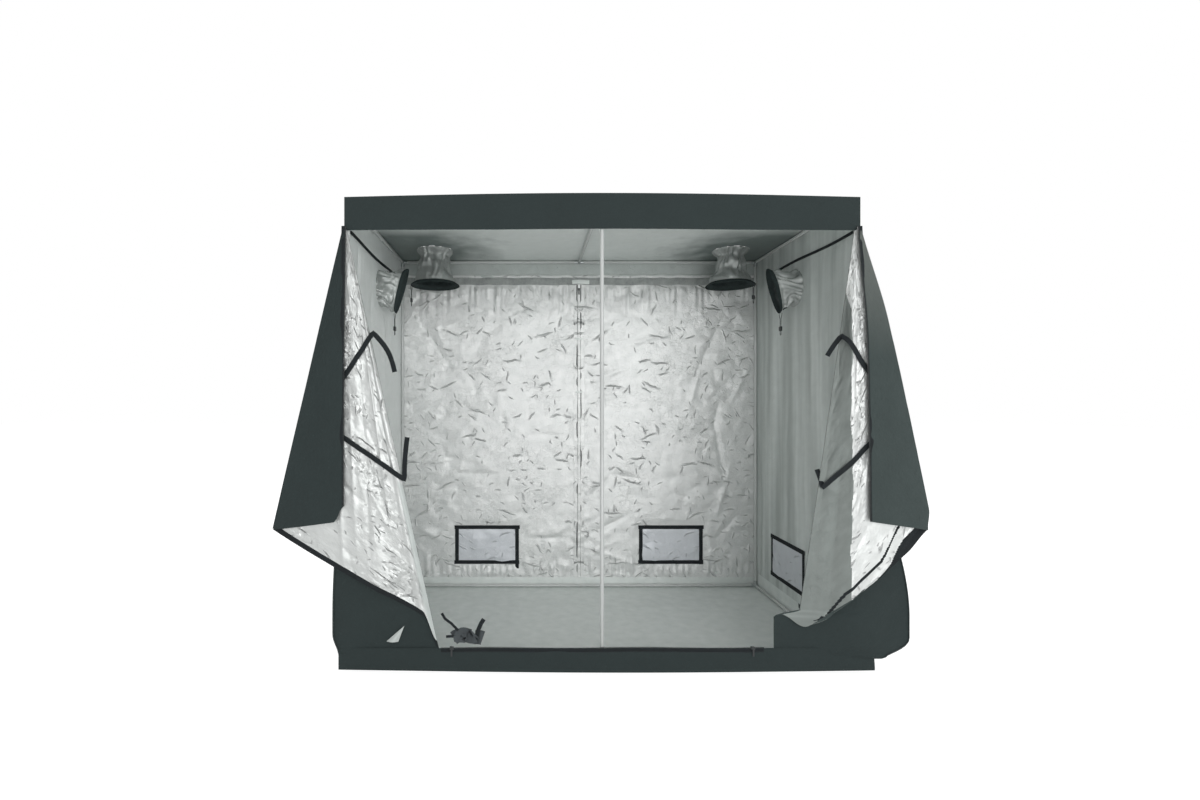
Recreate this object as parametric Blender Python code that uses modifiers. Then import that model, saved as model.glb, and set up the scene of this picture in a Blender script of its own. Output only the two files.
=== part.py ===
"""Indoor grow tent: a push-fit tube frame inside a sewn cover with two tied-back front doors.

Lengths are in metres. X is the width, Y the depth from front to back, Z up.
The origin is the middle of the floor, on its underside.
"""

import math

import bmesh
import bpy
import numpy as np
from mathutils import Matrix, Vector

# Whole tent
tent_width = 2.4
tent_depth = 1.2
tent_height = 2.2
hood_depth = 0.156
tray_height = 0.1
fabric = 0.002
seam_gap = 0.0003
cut_overrun = 0.01
round_shading_angle = math.radians(35)

# Frame of round steel tube
tube_radius = 0.0095
tube_wall = 0.001
tube_sides = 12
socket_wall = 0.0015
socket_length = 0.03
stub_length = 0.045
push_clearance = 0.0003

# Front opening and its two doors
sill_half_width = 0.76
flap_reach = 0.32
flap_corner_height = 0.66
free_edge_reach = 0.02
free_edge_height = 0.7
door_fabric = 0.002
door_head_drop = 0.06
flap_lift = 0.03
pleat_height = 0.008
pleats = 2.5
hem_rise = 0.06
fold_radius = 0.008
layer_rise = 0.012
head_row_share = 1.1
lift_full_share = 0.6
pleat_fade_share = 0.25
door_rows = 11
silver_columns = 15
fold_columns = 4
black_columns = 8

# Tie-back webbing
strap_width = 0.025
strap_thickness = 0.0015
strap_lift = 0.0012
strap_overshoot = 0.02
strap_slack = 0.012
strap_tuck = 0.03
strap_steps = 9
mitre_least_share = 0.6
upper_tie_height = 1.56
upper_tie_tuck_height = 1.32
upper_tie_tail = (-0.088, -0.167)
lower_tie_height = 0.9
lower_tie_tuck_height = 1.1
lower_tie_tail = (-0.006, 0.16)

# Duct sleeves and their drawstrings
roof_port_side_inset = 0.27
roof_port_back_inset = 0.26
wall_port_y = 0.04
wall_port_drop = 0.3
sleeve_fabric = 0.002
sleeve_sides = 24
roof_sleeve_root = 0.11
roof_sleeve_mouth = 0.15
roof_sleeve_length = 0.222
wall_sleeve_root = 0.1
wall_sleeve_mouth = 0.132
wall_sleeve_length = 0.13
wall_sleeve_droop = math.radians(16)
flare_shares = (0, 0.3, 0.6, 1)
hem_width = 0.022
hem_thickness = 0.004
cord_radius = 0.0015
cord_drop = 0.125
cord_loop_radius = 0.006
cord_lead = 0.008
cord_merge = 0.034
cord_steps = 14
loop_steps = 5
lock_width = 0.024
lock_thickness = 0.012
lock_height = 0.026
lock_depth = 0.088
lock_clearance = 0.0004
lock_button_radius = 0.004
lock_button_height = 0.005

# Passive vents with a screen and an inner cover
vent_width = 0.43
vent_height = 0.26
vent_middle_height = 0.285
back_vent_x = 0.62
side_vent_y = 0.14
vent_cover_thickness = 0.003
vent_border_width = 0.025
vent_border_rise = 0.001
window_margin = 0.03
screen_recess = 0.0007

# Zips
placket_width = 0.054
placket_thickness = 0.0012
zip_teeth_width = 0.008
zip_teeth_rise = 0.002
slider_width = 0.014
slider_height = 0.018
slider_thickness = 0.006
slider_head_drop = 0.03
pull_width = 0.008
pull_length = 0.035
pull_thickness = 0.002
sill_slider_inset = 0.06

# Places that follow from the sizes above
half_width = tent_width / 2
half_depth = tent_depth / 2
hood_edge = tent_height - hood_depth
wall_bottom = tray_height + seam_gap
wall_top = hood_edge - seam_gap
socket_radius = tube_radius + socket_wall
stub_radius = tube_radius - tube_wall - push_clearance
frame_inset = fabric + seam_gap + socket_radius
frame_x = half_width - frame_inset
frame_y = half_depth - frame_inset
frame_low = frame_inset
frame_high = tent_height - frame_inset
inner_wall_x = half_width - fabric
inner_wall_y = half_depth - fabric
door_apex = Vector((half_width, wall_top + door_head_drop))
sill_end = Vector((sill_half_width, wall_bottom))
flap_corner = Vector((half_width + flap_reach, flap_corner_height))
free_corner = Vector((half_width + free_edge_reach, free_edge_height))
hinge_depth = door_fabric / 2 + seam_gap
roof_port_x = half_width - roof_port_side_inset
roof_port_y = half_depth - roof_port_back_inset
wall_port_height = tent_height - wall_port_drop
first_row_share = head_row_share * door_head_drop / (door_apex.y - sill_end.y)

straight_up = Vector((0, 0, 1))
quarter_turn = math.radians(90)
half_turn = math.radians(180)


def clear_scene():
    for old in list(bpy.data.objects):
        bpy.data.objects.remove(old)


def collection(name):
    made = bpy.data.collections.new(name)
    bpy.context.scene.collection.children.link(made)
    return made


clear_scene()
tent = collection("grow_tent")
cutters = collection("cutters")


def finish_of(name, colour, roughness, metallic=0.0):
    """A Principled material in one plain colour."""
    made = bpy.data.materials.new(name)
    made.use_nodes = True
    shader = made.node_tree.nodes["Principled BSDF"]
    shader.inputs["Base Color"].default_value = (*colour, 1)
    shader.inputs["Roughness"].default_value = roughness
    shader.inputs["Metallic"].default_value = metallic
    return made


oxford = finish_of("black_oxford", (0.035, 0.042, 0.042), 0.85)
silver_film = finish_of("silver_film", (0.62, 0.63, 0.62), 0.35, 0.6)
powder_coat = finish_of("white_powder_coat", (0.78, 0.79, 0.78), 0.4)
steel_fitting = finish_of("steel_fitting", (0.4, 0.42, 0.43), 0.45, 0.8)
webbing = finish_of("black_webbing", (0.02, 0.022, 0.022), 0.8)
cord_black = finish_of("black_cord", (0.02, 0.02, 0.02), 0.7)
black_plastic = finish_of("black_plastic", (0.015, 0.015, 0.015), 0.4)


def put(name, data, finish, group=tent):
    """A new object of this mesh or curve, in the tent or among the cutters."""
    made = bpy.data.objects.new(name, data)
    group.objects.link(made)
    if group is cutters:
        made.hide_render = True
        made.display_type = "WIRE"
    elif finish.name not in data.materials:
        data.materials.append(finish)
    return made


def mesh_of(bm, name):
    data = bpy.data.meshes.new(name)
    bmesh.ops.recalc_face_normals(bm, faces=bm.faces)
    bm.to_mesh(data)
    bm.free()
    return data


def box_mesh(name, low, high):
    """A box between two corners, as a bmesh still open to changes."""
    bm = bmesh.new()
    bmesh.ops.create_cube(bm, size=1)
    low = Vector(low)
    high = Vector(high)
    sides = Matrix.Diagonal((*(high - low), 1))
    bmesh.ops.transform(bm, matrix=Matrix.Translation((low + high) / 2) @ sides, verts=bm.verts)
    return bm


def box(name, low, high, finish=None, group=tent):
    return put(name, mesh_of(box_mesh(name, low, high), name), finish, group)


def boolean(target, tool, operation):
    """Cuts or joins a helper; the helper stays as a hidden cutter."""
    step = target.modifiers.new(tool.name, "BOOLEAN")
    step.operation = operation
    step.object = tool
    step.solver = "EXACT"


def solidify(target, thickness, offset):
    step = target.modifiers.new("thickness", "SOLIDIFY")
    step.thickness = thickness
    step.offset = offset
    step.use_even_offset = True


def round_shaded(data):
    """The mesh with its round sides smooth and its edges crisp."""
    data.shade_smooth()
    data.set_sharp_from_angle(angle=round_shading_angle)
    return data


# Frame tubes and push-fit fittings
turns = {
    "+X": Matrix.Rotation(quarter_turn, 4, "Y"),
    "-X": Matrix.Rotation(-quarter_turn, 4, "Y"),
    "+Y": Matrix.Rotation(-quarter_turn, 4, "X"),
    "-Y": Matrix.Rotation(quarter_turn, 4, "X"),
    "+Z": Matrix.Identity(4),
    "-Z": Matrix.Rotation(half_turn, 4, "X"),
}


def tube(name, start, direction, length):
    """An open tube between two sockets, turned from its wall's section."""
    outer = tube_radius
    bore = tube_radius - tube_wall
    section = [(outer, 0, length), (outer, 0, 0), (bore, 0, 0), (bore, 0, length)]
    data = bpy.data.meshes.new(name)
    data.from_pydata(section, [(i, (i + 1) % 4) for i in range(4)], [])
    made = put(name, data, powder_coat)
    turn = made.modifiers.new("turn", "SCREW")
    turn.steps = tube_sides
    turn.render_steps = tube_sides
    turn.use_merge_vertices = True
    turn.merge_threshold = 0.00001
    made.matrix_world = Matrix.Translation(start) @ turns[direction]
    return made


def socket_arm():
    """One arm of a fitting: a socket body with a thinner stub that the tube slides over."""
    bm = bmesh.new()
    bmesh.ops.create_cone(
        bm,
        cap_ends=True,
        segments=tube_sides,
        radius1=socket_radius,
        radius2=socket_radius,
        depth=socket_length,
    )
    bmesh.ops.translate(bm, vec=(0, 0, socket_length / 2), verts=bm.verts)
    end = max(bm.faces, key=lambda face: face.calc_center_median().z)
    step = (socket_radius - stub_radius) * math.cos(math.pi / tube_sides)
    bmesh.ops.inset_region(bm, faces=[end], thickness=step)
    stub = bmesh.ops.extrude_face_region(bm, geom=[end])
    raised = [item for item in stub["geom"] if isinstance(item, bmesh.types.BMVert)]
    bmesh.ops.translate(bm, vec=(0, 0, stub_length), verts=raised)
    bmesh.ops.delete(bm, geom=[end], context="FACES_ONLY")
    return round_shaded(mesh_of(bm, "socket_arm"))


def fitting(name, place, directions):
    """A welded fitting with one arm for each tube that meets there."""
    arms = []
    for direction in directions:
        first = not arms
        arm_name = name if first else f"{name}_arm_{direction}"
        arm = put(arm_name, socket_arm(), steel_fitting, tent if first else cutters)
        arm.matrix_world = Matrix.Translation(place) @ turns[direction]
        if not first:
            boolean(arms[0], arm, "UNION")
        arms.append(arm)
    return arms[0]


def frame():
    shoulder = socket_length + seam_gap
    rail_z = {"top": frame_high, "bottom": frame_low}
    post_turn = {"top": "-Z", "bottom": "+Z"}
    side_x = {"left": -frame_x, "right": frame_x}
    end_y = {"front": -frame_y, "back": frame_y}
    for level, z in rail_z.items():
        for side, x in side_x.items():
            for end, y in end_y.items():
                inward_x = "+X" if x < 0 else "-X"
                inward_y = "+Y" if y < 0 else "-Y"
                arms = (inward_x, inward_y, post_turn[level])
                fitting(f"{level}_corner_fitting_{end}_{side}", (x, y, z), arms)
            rail = 2 * frame_y - 2 * shoulder
            tube(f"{level}_rail_{side}", (x, -frame_y + shoulder, z), "+Y", rail)
    for side, x in side_x.items():
        for end, y in end_y.items():
            post = frame_high - frame_low - 2 * shoulder
            tube(f"corner_upright_{end}_{side}", (x, y, frame_low + shoulder), "+Z", post)

    fitting("top_middle_fitting_front", (0, -frame_y, frame_high), ("+X", "-X", "+Y", "-Z"))
    fitting("top_middle_fitting_back", (0, frame_y, frame_high), ("+X", "-X", "-Y"))
    fitting("bottom_middle_fitting_front", (0, -frame_y, frame_low), ("+X", "-X", "+Z"))
    half_rail = frame_x - 2 * shoulder
    for level, end in (("top", "front"), ("top", "back"), ("bottom", "front")):
        y = end_y[end]
        z = rail_z[level]
        tube(f"{level}_rail_{end}_left", (-frame_x + shoulder, y, z), "+X", half_rail)
        tube(f"{level}_rail_{end}_right", (shoulder, y, z), "+X", half_rail)
    long_rail = 2 * (frame_x - shoulder)
    tube("bottom_rail_back", (-frame_x + shoulder, frame_y, frame_low), "+X", long_rail)
    post = frame_high - frame_low - 2 * shoulder
    tube("front_pole", (0, -frame_y, frame_low + shoulder), "+Z", post)
    crossbar = 2 * (frame_y - shoulder)
    tube("roof_crossbar", (0, -frame_y + shoulder, frame_high), "+Y", crossbar)


# Sewn cover
def open_box(name, low, high, open_up, finish):
    """A box of cloth without its top or its bottom."""
    bm = box_mesh(name, low, high)
    by_height = sorted(bm.faces, key=lambda face: face.calc_center_median().z)
    gone = by_height[-1] if open_up else by_height[0]
    bmesh.ops.delete(bm, geom=[gone], context="FACES_ONLY")
    made = put(name, mesh_of(bm, name), finish)
    solidify(made, fabric, -1)
    return made


def round_cutter(name, place, direction, radius, length):
    bm = bmesh.new()
    bmesh.ops.create_cone(
        bm, cap_ends=True, segments=sleeve_sides, radius1=radius, radius2=radius, depth=length
    )
    made = put(name, mesh_of(bm, name), None, cutters)
    made.matrix_world = Matrix.Translation(place) @ turns[direction]
    return made


def window_recesses(wall, name, middle, across):
    """Thins the wall to a screen, from both faces, inside the vent's sewn margin."""
    half_w = vent_width / 2 - window_margin
    half_h = vent_height / 2 - window_margin
    outward = middle[0] if across == "Y" else middle[1]
    sign = math.copysign(1, outward)
    for face, depth_low, depth_high in (
        ("inner", -fabric - cut_overrun, -fabric + screen_recess),
        ("outer", -screen_recess, cut_overrun),
    ):
        near, far = sorted((outward + sign * depth_low, outward + sign * depth_high))
        if across == "Y":
            low = (near, middle[1] - half_w, middle[2] - half_h)
            high = (far, middle[1] + half_w, middle[2] + half_h)
        else:
            low = (middle[0] - half_w, near, middle[2] - half_h)
            high = (middle[0] + half_w, far, middle[2] + half_h)
        boolean(wall, box(f"{name}_{face}_recess", low, high, group=cutters), "DIFFERENCE")


def cover():
    open_box(
        "floor_tray",
        (-half_width, -half_depth, 0),
        (half_width, half_depth, tray_height),
        True,
        oxford,
    )
    roof = open_box(
        "roof",
        (-half_width, -half_depth, hood_edge),
        (half_width, half_depth, tent_height),
        False,
        oxford,
    )
    for side, sign in (("left", -1), ("right", 1)):
        place = (sign * roof_port_x, roof_port_y, tent_height)
        bore = roof_sleeve_root - sleeve_fabric
        hole = round_cutter(f"roof_port_{side}", place, "+Z", bore, 2 * cut_overrun)
        boolean(roof, hole, "DIFFERENCE")

    back = box(
        "back_wall",
        (-half_width, inner_wall_y, wall_bottom),
        (half_width, half_depth, wall_top),
        oxford,
    )
    for side, sign in (("left", -1), ("right", 1)):
        middle = (sign * back_vent_x, half_depth, vent_middle_height)
        window_recesses(back, f"back_window_{side}", middle, "X")
    bite = fabric / 2
    placket = box(
        "back_zip_placket",
        (-placket_width / 2, inner_wall_y - placket_thickness, wall_bottom),
        (placket_width / 2, inner_wall_y + bite, wall_top),
        group=cutters,
    )
    teeth_face = inner_wall_y - placket_thickness - zip_teeth_rise
    teeth = box(
        "back_zip_teeth",
        (-zip_teeth_width / 2, teeth_face, wall_bottom + seam_gap),
        (zip_teeth_width / 2, inner_wall_y + bite, wall_top - seam_gap),
        group=cutters,
    )
    boolean(back, placket, "UNION")
    boolean(back, teeth, "UNION")

    for side, sign in (("left", -1), ("right", 1)):
        x_low, x_high = sorted((sign * inner_wall_x, sign * half_width))
        wall = box(
            f"{side}_wall",
            (x_low, -inner_wall_y + seam_gap, wall_bottom),
            (x_high, inner_wall_y - seam_gap, wall_top),
            oxford,
        )
        place = (sign * half_width, wall_port_y, wall_port_height)
        bore = wall_sleeve_root - sleeve_fabric
        hole = round_cutter(f"{side}_wall_port", place, "+X", bore, 2 * cut_overrun)
        boolean(wall, hole, "DIFFERENCE")
        middle = (sign * half_width, side_vent_y, vent_middle_height)
        window_recesses(wall, f"{side}_window", middle, "Y")

        outline = bpy.data.curves.new(f"{side}_gusset", "CURVE")
        outline.dimensions = "2D"
        outline.fill_mode = "BOTH"
        outline.extrude = fabric / 2
        edge = outline.splines.new("POLY")
        edge.points.add(3)
        top_share = door_head_drop / (door_apex.y - sill_end.y)
        upper = door_apex.lerp(sill_end, top_share)
        corners = (upper, (half_width, wall_top), (half_width, wall_bottom), sill_end)
        for point, (x, z) in zip(edge.points, corners):
            point.co = (sign * x, z, 0, 1)
        edge.use_cyclic_u = True
        gusset = put(f"{side}_gusset", outline, oxford)
        upright = Matrix.Rotation(quarter_turn, 4, "X")
        gusset.matrix_world = Matrix.Translation((0, -half_depth + fabric / 2, 0)) @ upright


# Doors, tied back over the gussets. Depth is measured forward from the front of the cover,
# and points are worked out for the right side and mirrored for the left.
def smooth(share):
    share = min(max(share, 0), 1)
    return share * share * (3 - 2 * share)


def silver_shares(x, z):
    """How far down from the apex and out from the hinge line a place on the door lies."""
    down = sill_end - door_apex
    out = flap_corner - sill_end
    dx = x - door_apex.x
    dz = z - door_apex.y
    area = down.x * out.y - down.y * out.x
    drop = (dx * out.y - dz * out.x) / area
    reach = (down.x * dz - down.y * dx) / area
    return drop, reach / max(drop, first_row_share / 2)


def silver_depth(x, z):
    """How far forward the silver layer stands: it lifts towards its outer fold, in long pleats."""
    drop, out = silver_shares(x, z)
    drop = min(max(drop, 0), 1)
    out = min(max(out, 0), 1)
    wave = (1 - math.cos(2 * math.pi * pleats * out)) / 2
    ripple = pleat_height * wave * smooth((1 - out) / pleat_fade_share)
    return hinge_depth + drop * (flap_lift * smooth(out / lift_full_share) + ripple)


def door_points():
    """Rows from the head down to the hem, each from the hinge line, out, round the fold and back."""
    rows = []
    for row in range(door_rows):
        drop = first_row_share + (1 - first_row_share) * row / (door_rows - 1)
        hinge = door_apex.lerp(sill_end, drop)
        outer = door_apex.lerp(flap_corner, drop)
        free = door_apex.lerp(free_corner, drop)
        points = []
        for column in range(silver_columns):
            out = column / (silver_columns - 1)
            x, z = hinge.lerp(outer, out)
            z += hem_rise * drop * drop * math.sin(math.pi * math.sqrt(out))
            points.append((x, -silver_depth(x, z), z))
        turn_depth = -points[-1][1] + fold_radius
        for column in range(1, fold_columns):
            angle = math.pi * column / fold_columns
            x = outer.x + fold_radius * math.sin(angle)
            points.append((x, -turn_depth + fold_radius * math.cos(angle), outer.y))
        for column in range(black_columns):
            back = column / (black_columns - 1)
            x, z = outer.lerp(free, back)
            depth = silver_depth(x, z) + 2 * fold_radius + layer_rise * drop * math.sin(math.pi * back)
            points.append((x, -depth, z))
        rows.append(points)
    return rows


def door(side, sign):
    bm = bmesh.new()
    grid = []
    for row in door_points():
        grid.append([bm.verts.new((sign * x, y - half_depth, z)) for x, y, z in row])
    for upper, lower in zip(grid, grid[1:]):
        for i in range(len(upper) - 1):
            bm.faces.new((upper[i], upper[i + 1], lower[i + 1], lower[i]))
    pivot = hinge_place(sign)
    bmesh.ops.translate(bm, vec=-pivot, verts=bm.verts)
    made = put(f"{side}_door", mesh_of(bm, f"{side}_door"), silver_film)
    made.location = pivot
    solidify(made, door_fabric, 0)


def hinge_place(sign):
    """The middle of the hinge line, where the door is sewn to its gusset."""
    x, z = door_apex.lerp(sill_end, 0.5)
    return Vector((sign * x, -half_depth - hinge_depth, z))


def strap(name, sign, height, tuck_height, tail):
    """Webbing from between the door's layers, over the silver, past the hinge line and along inside."""
    hinge_share = (door_apex.y - height) / (door_apex.y - sill_end.y)
    peak = door_apex.lerp(sill_end, hinge_share) - Vector((strap_overshoot, 0))
    tucked = Vector((free_corner.x + strap_tuck, tuck_height))
    over = [tucked.lerp(peak, step / (strap_steps - 1)) for step in range(strap_steps)]
    centre = over + [peak + Vector(tail) / 2, peak + Vector(tail)]
    lift = (door_fabric + strap_thickness) / 2 + strap_lift
    bm = bmesh.new()
    pairs = []
    for i, place in enumerate(centre):
        run_in = (place - centre[i - 1]).normalized() if i else (centre[1] - place).normalized()
        run_out = (centre[i + 1] - place).normalized() if i + 1 < len(centre) else run_in
        along = (run_in + run_out).normalized()
        across = Vector((-along.y, along.x))
        half = strap_width / 2 / max(along.dot(run_in), mitre_least_share)
        past_peak = max(i + 1 - strap_steps, 0)
        pair = []
        for x, z in (place - across * half, place + across * half):
            forward = silver_depth(x, z) if i < strap_steps else hinge_depth
            y = strap_slack * past_peak - half_depth - forward - lift
            pair.append(bm.verts.new((sign * x, y, z)))
        pairs.append(pair)
    for upper, lower in zip(pairs, pairs[1:]):
        bm.faces.new((upper[0], upper[1], lower[1], lower[0]))
    made = put(name, mesh_of(bm, name), webbing)
    solidify(made, strap_thickness, 0)


def doors():
    for side, sign in (("left", -1), ("right", 1)):
        door(side, sign)
        strap(f"{side}_upper_tie", sign, upper_tie_height, upper_tie_tuck_height, upper_tie_tail)
        strap(f"{side}_lower_tie", sign, lower_tie_height, lower_tie_tuck_height, lower_tie_tail)


# Duct sleeves with a drawstring hem
def flared(root, mouth, share):
    return root + (mouth - root) * smooth(share)


def sleeve_object(name, root, mouth, length):
    """A sleeve along local -Z from its sewn root, with its thicker hem at the mouth."""
    body = length - hem_width
    outside = [(flared(root, mouth, share), -share * body) for share in flare_shares]
    hem_outer = mouth + hem_thickness - sleeve_fabric
    inside = [(radius - sleeve_fabric, z) for radius, z in reversed(outside)]
    hem = [(hem_outer, -body), (hem_outer, -length), (mouth - sleeve_fabric, -length)]
    section = [(radius, 0, z) for radius, z in outside + hem + inside[1:]]
    data = bpy.data.meshes.new(name)
    count = len(section)
    data.from_pydata(section, [(i, (i + 1) % count) for i in range(count)], [])
    made = put(name, data, silver_film)
    turn = made.modifiers.new("turn", "SCREW")
    turn.steps = sleeve_sides
    turn.render_steps = sleeve_sides
    turn.use_merge_vertices = True
    turn.merge_threshold = 0.00001
    return made


def droop(place):
    """Bends a point of a wall sleeve, whose straight axis is local -Z, down towards local -X."""
    reach = -place.z
    angle = wall_sleeve_droop * reach / wall_sleeve_length
    arc = wall_sleeve_length / wall_sleeve_droop
    along = arc * math.sin(angle) + place.x * math.sin(angle)
    up = place.x * math.cos(angle) - arc * (1 - math.cos(angle))
    return Vector((up, place.y, -along))


def drooped(source):
    """The turned sleeve as a mesh of its own, bent under its weight."""
    graph = bpy.context.evaluated_depsgraph_get()
    data = bpy.data.meshes.new_from_object(source.evaluated_get(graph))
    name = source.name
    bpy.data.objects.remove(source)
    for vert in data.vertices:
        vert.co = droop(vert.co)
    return put(name, data, silver_film)


def drawstring(name, top, chord, exit_half):
    """One cord: out of the hem, down, round a small loop and back up into the hem."""
    def half_gap(drop):
        share = (drop - cord_lead) / (cord_merge - cord_lead)
        return exit_half + (cord_loop_radius - exit_half) * smooth(share)

    straight = cord_drop - cord_loop_radius
    down = [(-half_gap(drop), drop) for drop in np.linspace(0, straight, cord_steps)]
    turn = [math.pi * step / loop_steps for step in range(1, loop_steps)]
    low = [
        (-cord_loop_radius * math.cos(angle), straight + cord_loop_radius * math.sin(angle))
        for angle in turn
    ]
    up = [(-x, drop) for x, drop in reversed(down)]
    route = bpy.data.curves.new(name, "CURVE")
    route.dimensions = "3D"
    route.bevel_depth = cord_radius
    route.bevel_resolution = 2
    route.use_fill_caps = True
    points = [top + chord * x - straight_up * drop for x, drop in down + low + up]
    line = route.splines.new("POLY")
    line.points.add(len(points) - 1)
    for point, place in zip(line.points, points):
        point.co = (*place, 1)
    return put(name, route, cord_black)


def cord_lock(name, top, chord):
    """A spring toggle: a block with an oval bore for both strands and a push button."""
    bm = box_mesh(
        name,
        (-lock_width / 2, -lock_thickness / 2, -lock_height / 2),
        (lock_width / 2, lock_thickness / 2, lock_height / 2),
    )
    upright = [
        edge
        for edge in bm.edges
        if abs(edge.verts[0].co.z - edge.verts[1].co.z) > lock_height / 2
    ]
    bmesh.ops.bevel(bm, geom=upright, offset=lock_thickness / 4, segments=2, affect="EDGES")
    made = put(name, round_shaded(mesh_of(bm, name)), black_plastic)
    place = top - straight_up * lock_depth
    across = math.atan2(chord.y, chord.x)
    made.matrix_world = Matrix.Translation(place) @ Matrix.Rotation(across, 4, "Z")
    bore = cord_radius + lock_clearance
    slot = box(
        f"{name}_bore",
        (-cord_loop_radius - bore, -bore, -lock_height),
        (cord_loop_radius + bore, bore, lock_height),
        group=cutters,
    )
    slot.matrix_world = made.matrix_world
    boolean(made, slot, "DIFFERENCE")
    button_mesh = bmesh.new()
    bmesh.ops.create_cone(
        button_mesh,
        cap_ends=True,
        segments=tube_sides,
        radius1=lock_button_radius,
        radius2=lock_button_radius,
        depth=lock_button_height,
    )
    button = put(f"{name}_button", mesh_of(button_mesh, f"{name}_button"), None, cutters)
    beside = Matrix.Translation((lock_width / 2 + lock_button_height / 4, 0, 0)) @ turns["+X"]
    button.matrix_world = made.matrix_world @ beside
    boolean(made, button, "UNION")


def sleeves():
    facet = math.pi / sleeve_sides
    hem_middle = hem_thickness / 2 - sleeve_fabric
    for side, sign, cord_angle in (("left", -1, math.pi), ("right", 1, -math.pi / 4)):
        root = Vector((sign * roof_port_x, roof_port_y, tent_height - fabric - seam_gap))
        made = sleeve_object(
            f"roof_sleeve_{side}", roof_sleeve_root, roof_sleeve_mouth, roof_sleeve_length
        )
        made.location = root
        hem_radius = (roof_sleeve_mouth + hem_middle) * math.cos(facet)
        outward = Vector((math.cos(cord_angle), math.sin(cord_angle), 0))
        chord = Vector((-outward.y, outward.x, 0))
        top = root + outward * hem_radius * math.cos(facet)
        top.z -= roof_sleeve_length + seam_gap
        drawstring(f"roof_drawstring_{side}", top, chord, hem_radius * math.sin(facet))
        cord_lock(f"roof_cord_lock_{side}", top, chord)

    hem_outer = wall_sleeve_mouth + hem_thickness - sleeve_fabric
    exit_radius = hem_outer * math.cos(facet)
    low_point = Vector((-exit_radius * math.cos(facet), 0, hem_width / 2 - wall_sleeve_length))
    for side, sign in (("left", -1), ("right", 1)):
        made = sleeve_object(
            f"wall_sleeve_{side}", wall_sleeve_root, wall_sleeve_mouth, wall_sleeve_length
        )
        bpy.context.view_layer.update()
        made = drooped(made)
        root = Vector((sign * (inner_wall_x - seam_gap), wall_port_y, wall_port_height))
        inward = Matrix(((0, 0, sign, 0), (0, -sign, 0, 0), (1, 0, 0, 0), (0, 0, 0, 1)))
        made.matrix_world = Matrix.Translation(root) @ inward
        top = made.matrix_world @ droop(low_point)
        top.z -= seam_gap + cord_radius * (math.tan(wall_sleeve_droop) + math.tan(facet))
        chord = Vector((0, 1, 0))
        drawstring(f"wall_drawstring_{side}", top, chord, exit_radius * math.sin(facet))
        cord_lock(f"wall_cord_lock_{side}", top, chord)


# Vent covers, hinged along their sewn top edge
def vent_cover(name, top_middle, turn):
    """A panel with a raised webbing border; its origin is the middle of its top edge."""
    bm = box_mesh(
        name,
        (-vent_width / 2, 0, -vent_height),
        (vent_width / 2, vent_cover_thickness, 0),
    )
    front = min(bm.faces, key=lambda face: face.calc_center_median().y)
    bmesh.ops.inset_region(bm, faces=[front], thickness=vent_border_width, depth=-vent_border_rise)
    made = put(name, mesh_of(bm, name), silver_film)
    made.matrix_world = Matrix.Translation(top_middle) @ Matrix.Rotation(turn, 4, "Z")


def vent_covers():
    top = vent_middle_height + vent_height / 2
    clear = seam_gap + vent_cover_thickness
    for side, sign in (("left", -1), ("right", 1)):
        vent_cover(f"back_vent_cover_{side}", (sign * back_vent_x, inner_wall_y - clear, top), 0)
        place = (sign * (inner_wall_x - clear), side_vent_y, top)
        vent_cover(f"side_vent_cover_{side}", place, -sign * quarter_turn)


# Zip sliders
def pull_tab(name, low_middle):
    low = (low_middle[0] - pull_width / 2, low_middle[1] - pull_thickness, low_middle[2])
    high = (low_middle[0] + pull_width / 2, low_middle[1] + seam_gap, low_middle[2] + pull_length)
    return box(f"{name}_pull", low, high, group=cutters)


def zip_sliders():
    """The back zip's slider at its closed end, and one slider at each end of the sill zip."""
    teeth_face = inner_wall_y - placket_thickness - zip_teeth_rise - seam_gap
    high = wall_top - slider_head_drop
    slider = box(
        "back_zip_slider",
        (-slider_width / 2, teeth_face - slider_thickness, high - slider_height),
        (slider_width / 2, teeth_face, high),
        black_plastic,
    )
    pull_low = (0, teeth_face - slider_thickness, high - slider_height / 2 - pull_length)
    boolean(slider, pull_tab("back_zip_slider", pull_low), "UNION")

    lip_y = -half_depth + fabric / 2
    for side, sign in (("left", -1), ("right", 1)):
        name = f"sill_zip_slider_{side}"
        x = sign * (sill_half_width - sill_slider_inset)
        astride = fabric / 2 + seam_gap
        wall = slider_thickness / 2
        made = box(
            name,
            (x - slider_width / 2, lip_y - astride - wall, tray_height - slider_height / 2),
            (x + slider_width / 2, lip_y + astride + wall, tray_height + slider_height / 2),
            black_plastic,
        )
        groove = box(
            f"{name}_groove",
            (x - slider_width, lip_y - astride, tray_height - slider_height),
            (x + slider_width, lip_y + astride, tray_height + seam_gap),
            group=cutters,
        )
        boolean(made, groove, "DIFFERENCE")
        pull_low = (x, lip_y - astride - wall, tray_height - pull_length)
        boolean(made, pull_tab(name, pull_low), "UNION")


frame()
cover()
doors()
sleeves()
vent_covers()
zip_sliders()
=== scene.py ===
import math
import bpy
import numpy as np
from mathutils import Matrix, Vector
from mathutils.bvhtree import BVHTree


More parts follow.
